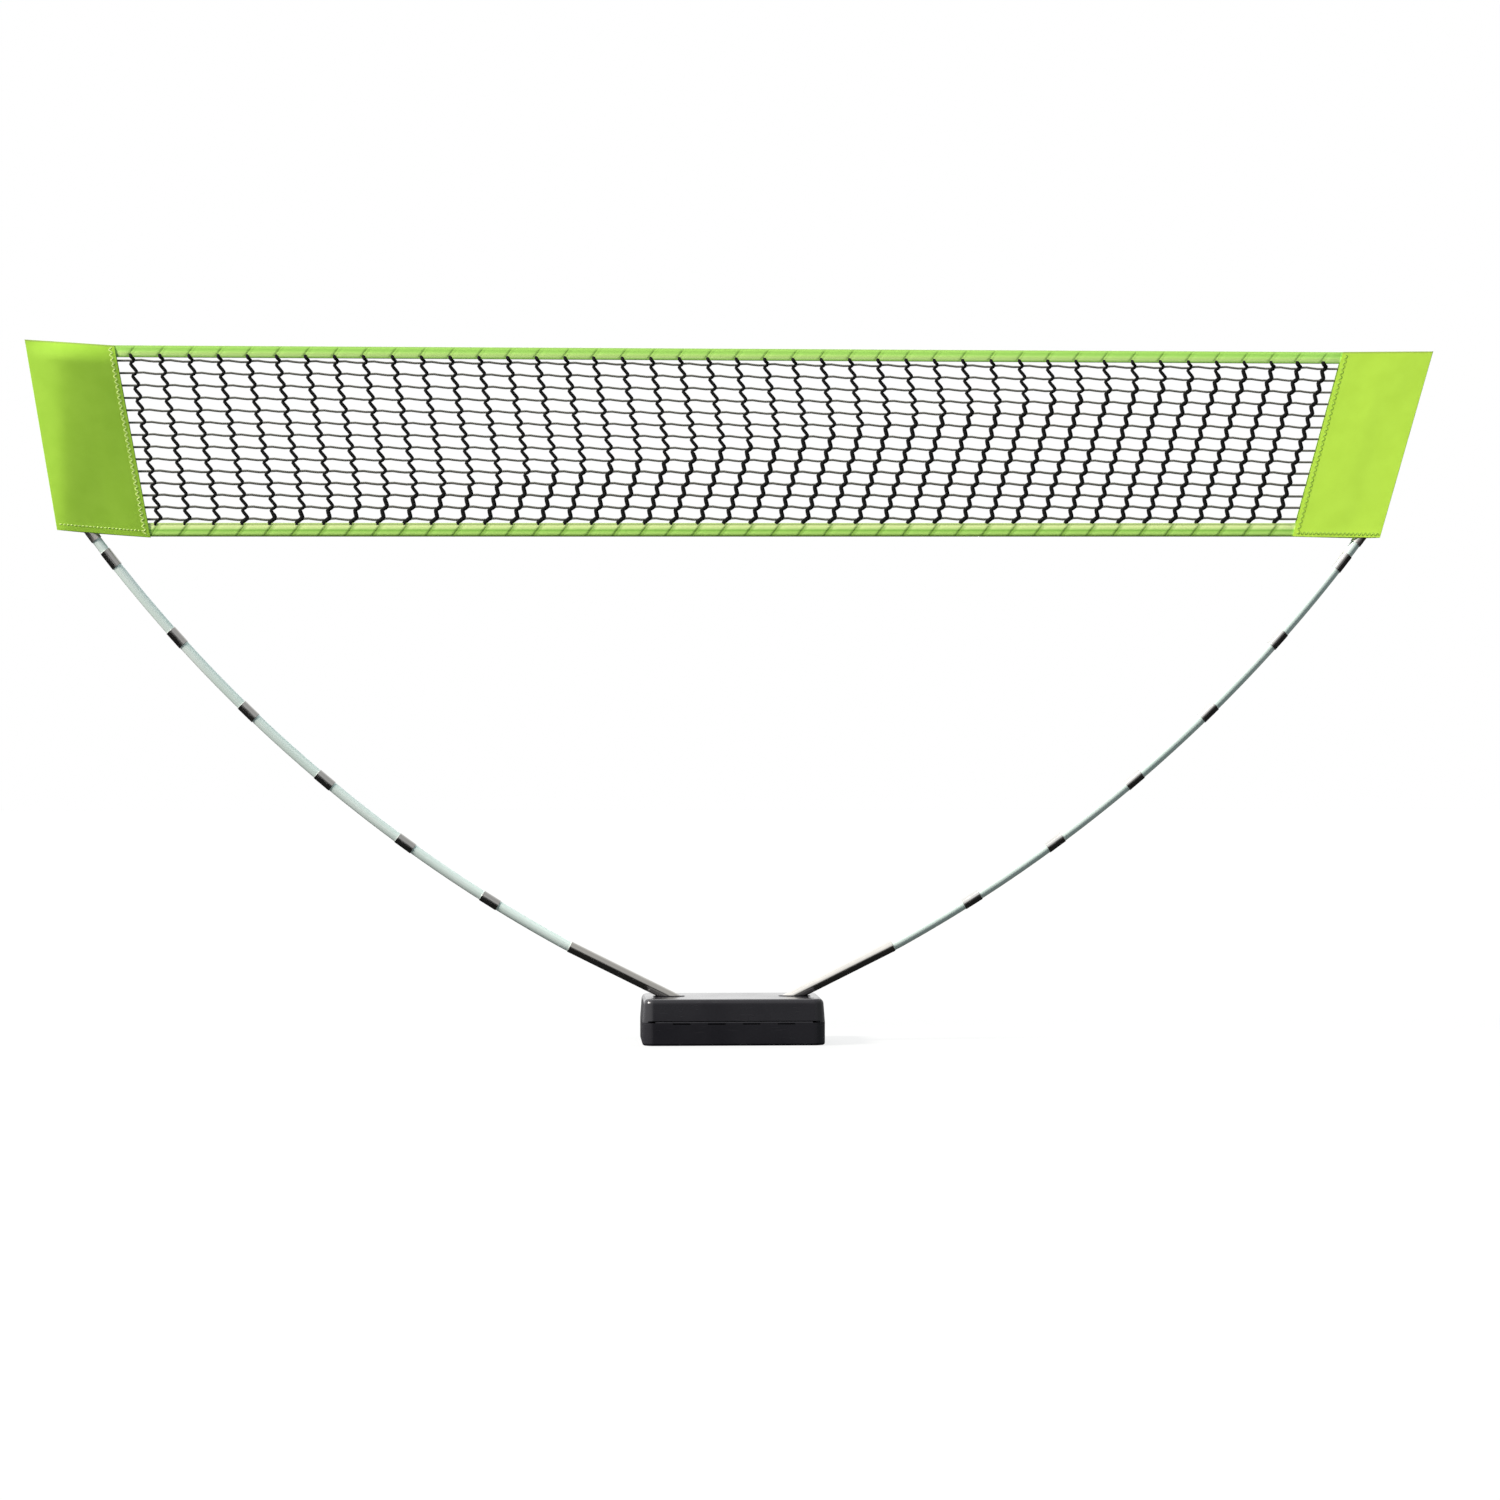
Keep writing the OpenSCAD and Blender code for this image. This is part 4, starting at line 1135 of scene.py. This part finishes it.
# Each pair is a value at the hem and at the top. "low" and "top" are the seam's and the fold's ends,
# (out, up). "ridge" and "fold" stand off the net's plane, "crest" is the ridge's distance from the
# fold, and "closing" is how far below the top the two layers begin to come together.
SLEEVES = {
    "left": {
        "low": ((1.2262, 1.0676), (1.4198, 1.0820)), "top": ((1.3020, 1.4716), (1.4894, 1.4830)),
        "ridge": 0.0184, "fold": (0.0168, -0.0005), "crest": (0.012, 0.078), "rounding": (0.012, 0.03),
        "closing": 0.042, "closed_share": 0.12, "rim": -0.00025, "ripple_seed": 1.0,
    },
    "right": {
        "low": ((1.2024, 1.0770), (1.3880, 1.0738)), "top": ((1.3112, 1.4722), (1.5030, 1.4726)),
        "ridge": 0.0166, "fold": (0.0205, 0.0205), "crest": None, "rounding": (0.02, 0.02),
        "closing": 0.024, "closed_share": 1.0, "rim": 0.00005, "ripple_seed": 4.0,
    },
}
TUBE_FOOT_OUT = 1.3597
TUBE_FOOT_UP = 1.0967
TUBE_LEAN = 76.7
TUBE_FOOT_CURVE = 5.0


def tube_reach(height):
    """How far out the bent steel tube's axis is at a height; it curves in a little at its foot."""
    straight = TUBE_FOOT_OUT + (height - TUBE_FOOT_UP) / math.tan(math.radians(TUBE_LEAN))
    foot = max(TUBE_FOOT_UP - height, 0.0)
    return straight - TUBE_FOOT_CURVE * foot * foot


def share_of(pair, part):
    """The value between the two of a pair."""
    return pair[0] + (pair[1] - pair[0]) * part


print("left tube axis at mid height:", round(tube_reach(1.28), 4))

# %% Stand-off of a layer
def layer_level(plan, out, up, height, face):
    """How far a layer stands from the net's plane before the top is closed."""
    seam_out = share_of((plan["low"][0][0], plan["top"][0][0]), up)
    fold_out = share_of((plan["low"][1][0], plan["top"][1][0]), up)
    fold, crest = share_of(plan["fold"], up), tube_reach(height)
    if face > 0:
        fold = FOLD_THICK - fold
    elif plan["crest"]:
        crest = fold_out - share_of(plan["crest"], up)
    ridge = plan["ridge"]
    slope_in = (ridge - SEAM_HALF) / (crest - seam_out)
    slope_out = (ridge - fold) / (fold_out - crest)
    past, rounding = crest - out, share_of(plan["rounding"], up)
    tilt = 0.5 * (slope_in + slope_out) * (math.sqrt(past * past + rounding ** 2) - rounding)
    return ridge - tilt - 0.5 * (slope_in - slope_out) * past


def sleeve_level(side, across, up, face):
    """Where a point of the sleeve is. across: 0 at the seam, 1 at the fold; up: 0 at the hem."""
    plan = SLEEVES[side]
    low = [share_of(pair, across) for pair in zip(*plan["low"])]
    top = [share_of(pair, across) for pair in zip(*plan["top"])]
    out, height = [share_of(pair, up) for pair in zip(low, top)]
    level = layer_level(plan, out, up, height, face)
    front = level if face < 0 else layer_level(plan, out, up, height, -1.0)
    middle = plan["closed_share"] * (front - CLOSED_HALF)
    shut = CLOSED_HALF + middle if face < 0 else CLOSED_HALF - middle
    open_part = math.sin(0.5 * math.pi * min((1.0 - up) * SLEEVE_HEIGHT / plan["closing"], 1.0))
    return out, height, share_of((shut, level), open_part)


print("left ridge at mid height:", round(sleeve_level("left", 0.5, 0.5, -1.0)[2], 4))

# %% [markdown]
# ## Surface of the sleeves
# Small things make the plain shape read as cloth: a slow ripple, a hem that is one layer thicker, and
# a seam band that lies a little lower or higher than the rest. They are added here, in one function
# that the stitching uses too, so that the thread lies on the cloth wherever it goes.

# %% Sleeve surface
HEM_THICK = 0.00015
HEM_HEIGHT = 0.010
HEM_FADE = 0.008
SEAM_BAND = 0.012
RIPPLE_FADE = 8.0


def ripple(across, up, seed):
    """A slow unevenness of the cloth, in metres."""
    waves = math.sin(7.0 * across + 3.1 * up + seed) * math.sin(5.3 * up - 2.0 * across + 1.7 * seed)
    small = math.sin(19.0 * across - 11.0 * up + 2.3 * seed) * math.sin(13.0 * up + 5.0 * across)
    return 0.0006 * waves + 0.0001 * small


def sleeve_point(side, across, up, face, lift=0.0):
    """A point on the outer surface of the sleeve's front (face -1) or back (face 1) layer."""
    plan = SLEEVES[side]
    out, height, level = sleeve_level(side, across, up, face)
    between_edges = math.sin(math.pi * hold(across))
    below_top = min(1.0, (1.0 - up) * RIPPLE_FADE)
    level += ripple(across, up, plan["ripple_seed"]) * between_edges * below_top
    band = HEM_THICK * (1.0 - hold((up * SLEEVE_HEIGHT - HEM_HEIGHT) / HEM_FADE))
    rim = plan["rim"] * (1.0 - hold((across * SLEEVE_WIDTH - SEAM_BAND) / SEAM_BAND))
    level += band + rim + lift
    return SIDES[side] * out, NET_PLANE + face * level, height


print("left sleeve's middle:", [round(v, 4) for v in sleeve_point("left", 0.5, 0.5, -1.0)])

# %% [markdown]
# ## Build the sleeves
# A sleeve is one sheet folded round: seam to fold in front, then fold to seam behind. Rows and columns
# stand closer where the cloth bends: at the hem, at the closed top, at the seam and at the fold. The
# UV map measures along the real surface from the fold, so the weave isn't stretched. A Solidify
# modifier then gives the sheet its thickness towards the inside.

# %% Build the sleeves
def sleeve_rows(side):
    """Places up the sleeve, closer together at the hem and where the top closes."""
    closing = SLEEVES[side]["closing"]
    hem = [0.0, 0.004, 0.010, 0.014, 0.018, 0.024]
    middle = list(np.linspace(0.032, 0.396 - closing, 44))
    close = list(SLEEVE_HEIGHT - closing * (1.0 - np.sin(np.linspace(0.0, 0.5 * math.pi, 16))))
    return [h / SLEEVE_HEIGHT for h in hem + middle + close]


def sleeve_steps():
    """Places across one layer, closer together at the seam band and at the fold."""
    seam = [0.0, 0.003, 0.006, 0.009, 0.012, 0.015, 0.018, 0.021]
    middle = list(np.linspace(0.026, 0.18, 46))
    fold = [0.184, 0.187, 0.1885, 0.1894]
    return [s / SLEEVE_WIDTH for s in seam + middle + fold]


def fold_point(side, up):
    """The middle of the outer fold, between the two layers' last points."""
    front, back = sleeve_point(side, 1.0, up, -1.0), sleeve_point(side, 1.0, up, 1.0)
    return front[0], 0.5 * (front[1] + back[1]), front[2]


def soften_all_but_edges(mesh):
    """Smooth edges everywhere except along the sheet's own border."""
    cut = bmesh.new()
    cut.from_mesh(mesh)
    for edge in cut.edges:
        edge.smooth = not edge.is_boundary
    cut.to_mesh(mesh)
    cut.free()


def build_sleeve(side):
    steps, rows = sleeve_steps(), sleeve_rows(side)
    loop = [(s, -1.0) for s in steps] + [(1.0, 0.0)] + [(s, 1.0) for s in reversed(steps)]
    width = len(loop)
    points, places = [], []
    for up in rows:
        row = [sleeve_point(side, s, up, face) if face else fold_point(side, up) for s, face in loop]
        reach = [0.0]
        for before, point in zip(row, row[1:]):
            reach.append(reach[-1] + math.dist(point, before))
        points.extend(row)
        places.extend((along - reach[len(steps)], up * SLEEVE_HEIGHT) for along in reach)
    faces = []
    for r in range(len(rows) - 1):
        for s in range(width - 1):
            a, b = r * width + s, r * width + s + 1
            quad = (a, b, b + width, a + width)
            faces.append(quad if side == "right" else quad[::-1])
    piece = make_piece(f"sleeve_cloth_{side}", points, faces, places, sleeve_cloth[side])
    soften_all_but_edges(piece.data)
    thicken = piece.modifiers.new("cloth_thickness", "SOLIDIFY")
    thicken.thickness = CLOTH
    thicken.offset = -1.0
    return piece


sleeves = {side: build_sleeve(side) for side in SIDES}
print("sleeves:", [len(p.data.vertices) for p in sleeves.values()], "points each before thickness")

# %% [markdown]
# ## Sewing thread
# A zigzag row holds the net to the sleeve's inner edge, and a row of straight stitches (a zigzag on
# the right sleeve) holds the hem. The thread has three strands, with painted shade in the grooves
# between them, and a slight gloss. Its colour is painted light: pale on the shaded left sleeve, as if
# catching the light, and olive on the lit right sleeve, as if in its own shadow.

# %% Thread finish
def make_thread(name, colour, shade):
    material, tree, shader = start_material(name, Roughness=0.5)
    ridge = strand_ridge(tree, 3)
    # Painted shade in the grooves between the strands.
    tree.links.new(blend_colour(tree, ridge, shade, colour), shader.inputs["Base Color"])
    bump(tree, shader, ridge, 0.5, 0.0003)
    return material


# Painted light: one thread, painted pale on the left sleeve as if catching the light, and olive on the right
# sleeve as if in its own shadow.
threads = {
    "left": make_thread("thread_painted_light_pale", rgb(238, 255, 160), rgb(206, 240, 112)),
    "right": make_thread("thread_painted_shade_olive", rgb(176, 216, 66), rgb(140, 182, 44)),
}
print("finishes: threads")

# %% [markdown]
# ## Sew the seams
# Each row is real thread and not a drawn line: it dips into the cloth at every needle hole and stands
# proud between two holes. A list of holes is made for each row, and the cord helper sweeps the thread
# from hole to hole over the sleeve's own surface.

# %% Sew the seams
THREAD_WIDE = {"left": 0.0013, "right": 0.0011}
THREAD_DEEP = 0.0005
THREAD_TWIST = 0.003
THREAD_DIP = -0.0004
THREAD_PROUD = 0.0002
# Rows of stitches in shares of the sleeve: across from the seam to the fold, and up from the hem.
SEAM_ZIGZAG = (0.0058 / SLEEVE_WIDTH, 0.0135 / SLEEVE_WIDTH)
SEAM_FROM = 0.012
SEAM_RUN = 0.976
SEAM_STITCHES = 70
HEM_ZIGZAG = (0.008, 0.026)
HEM_ZIGZAG_FROM = 0.05
HEM_ZIGZAG_RUN = 0.93
HEM_ZIGZAG_STITCHES = 40
HEM_UP = 0.031
HEM_FROM = 0.055
HEM_STEP = 0.04
HEM_STITCH = 0.024
HEM_STITCHES = 23


def thread_run(side, holes, face):
    """One thread through a list of (across, up) needle holes."""
    path = []
    for here, there in zip(holes[:-1], holes[1:]):
        for share, lift in ((0.0, THREAD_DIP), (0.25, THREAD_PROUD), (0.75, THREAD_PROUD)):
            across, up = [a + (b - a) * share for a, b in zip(here, there)]
            path.append(sleeve_point(side, across, up, face, lift))
    path.append(sleeve_point(side, *holes[-1], face, THREAD_DIP))
    return sweep(path, THREAD_WIDE[side], THREAD_DEEP, THREAD_TWIST)


def hem_rows(side):
    """The hem's rows of needle holes: one zigzag on the right, single straight stitches on the left."""
    if side == "right":
        count = HEM_ZIGZAG_STITCHES
        places = [HEM_ZIGZAG_FROM + HEM_ZIGZAG_RUN * k / count for k in range(count + 1)]
        return [[(across, HEM_ZIGZAG[k % 2]) for k, across in enumerate(places)]]
    starts = [HEM_FROM + HEM_STEP * k for k in range(HEM_STITCHES)]
    return [[(start, HEM_UP), (start + HEM_STITCH, HEM_UP)] for start in starts]


def sew_sleeve(side):
    count = SEAM_STITCHES
    seam = [(SEAM_ZIGZAG[k % 2], SEAM_FROM + SEAM_RUN * k / count) for k in range(count + 1)]
    rows = [seam] + hem_rows(side)
    parts = [thread_run(side, holes, face) for face in (-1.0, 1.0) for holes in rows]
    return make_piece(f"stitching_{side}", *join(parts), threads[side])


stitching = {side: sew_sleeve(side) for side in SIDES}
print("stitching:", [len(p.data.polygons) for p in stitching.values()], "faces")

# %% [markdown]
# ## Join the sleeves to the moving bodies
# The sleeves and their stitching move with their poles. The net and the tapes hang between them and
# stay where they are built; the solid pieces that they stand in for are hidden.

# %% Bodies of the sleeves, and the hidden solids
for side, sign in SIDES.items():
    pole = f"{side}_pole"
    sleeve, seam = sleeves[side], stitching[side]
    for piece in (sleeve, seam):
        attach(piece, pole)
    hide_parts(f"sleeve_{side}")
    for piece in net_pieces[side]:
        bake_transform(piece)
        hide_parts("net_mesh")
    for key, solid in (("top", "top_tape"), ("low", "bottom_tape")):
        tape = tapes[key, side]
        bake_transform(tape)
        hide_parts(solid)
print("soft pieces joined")
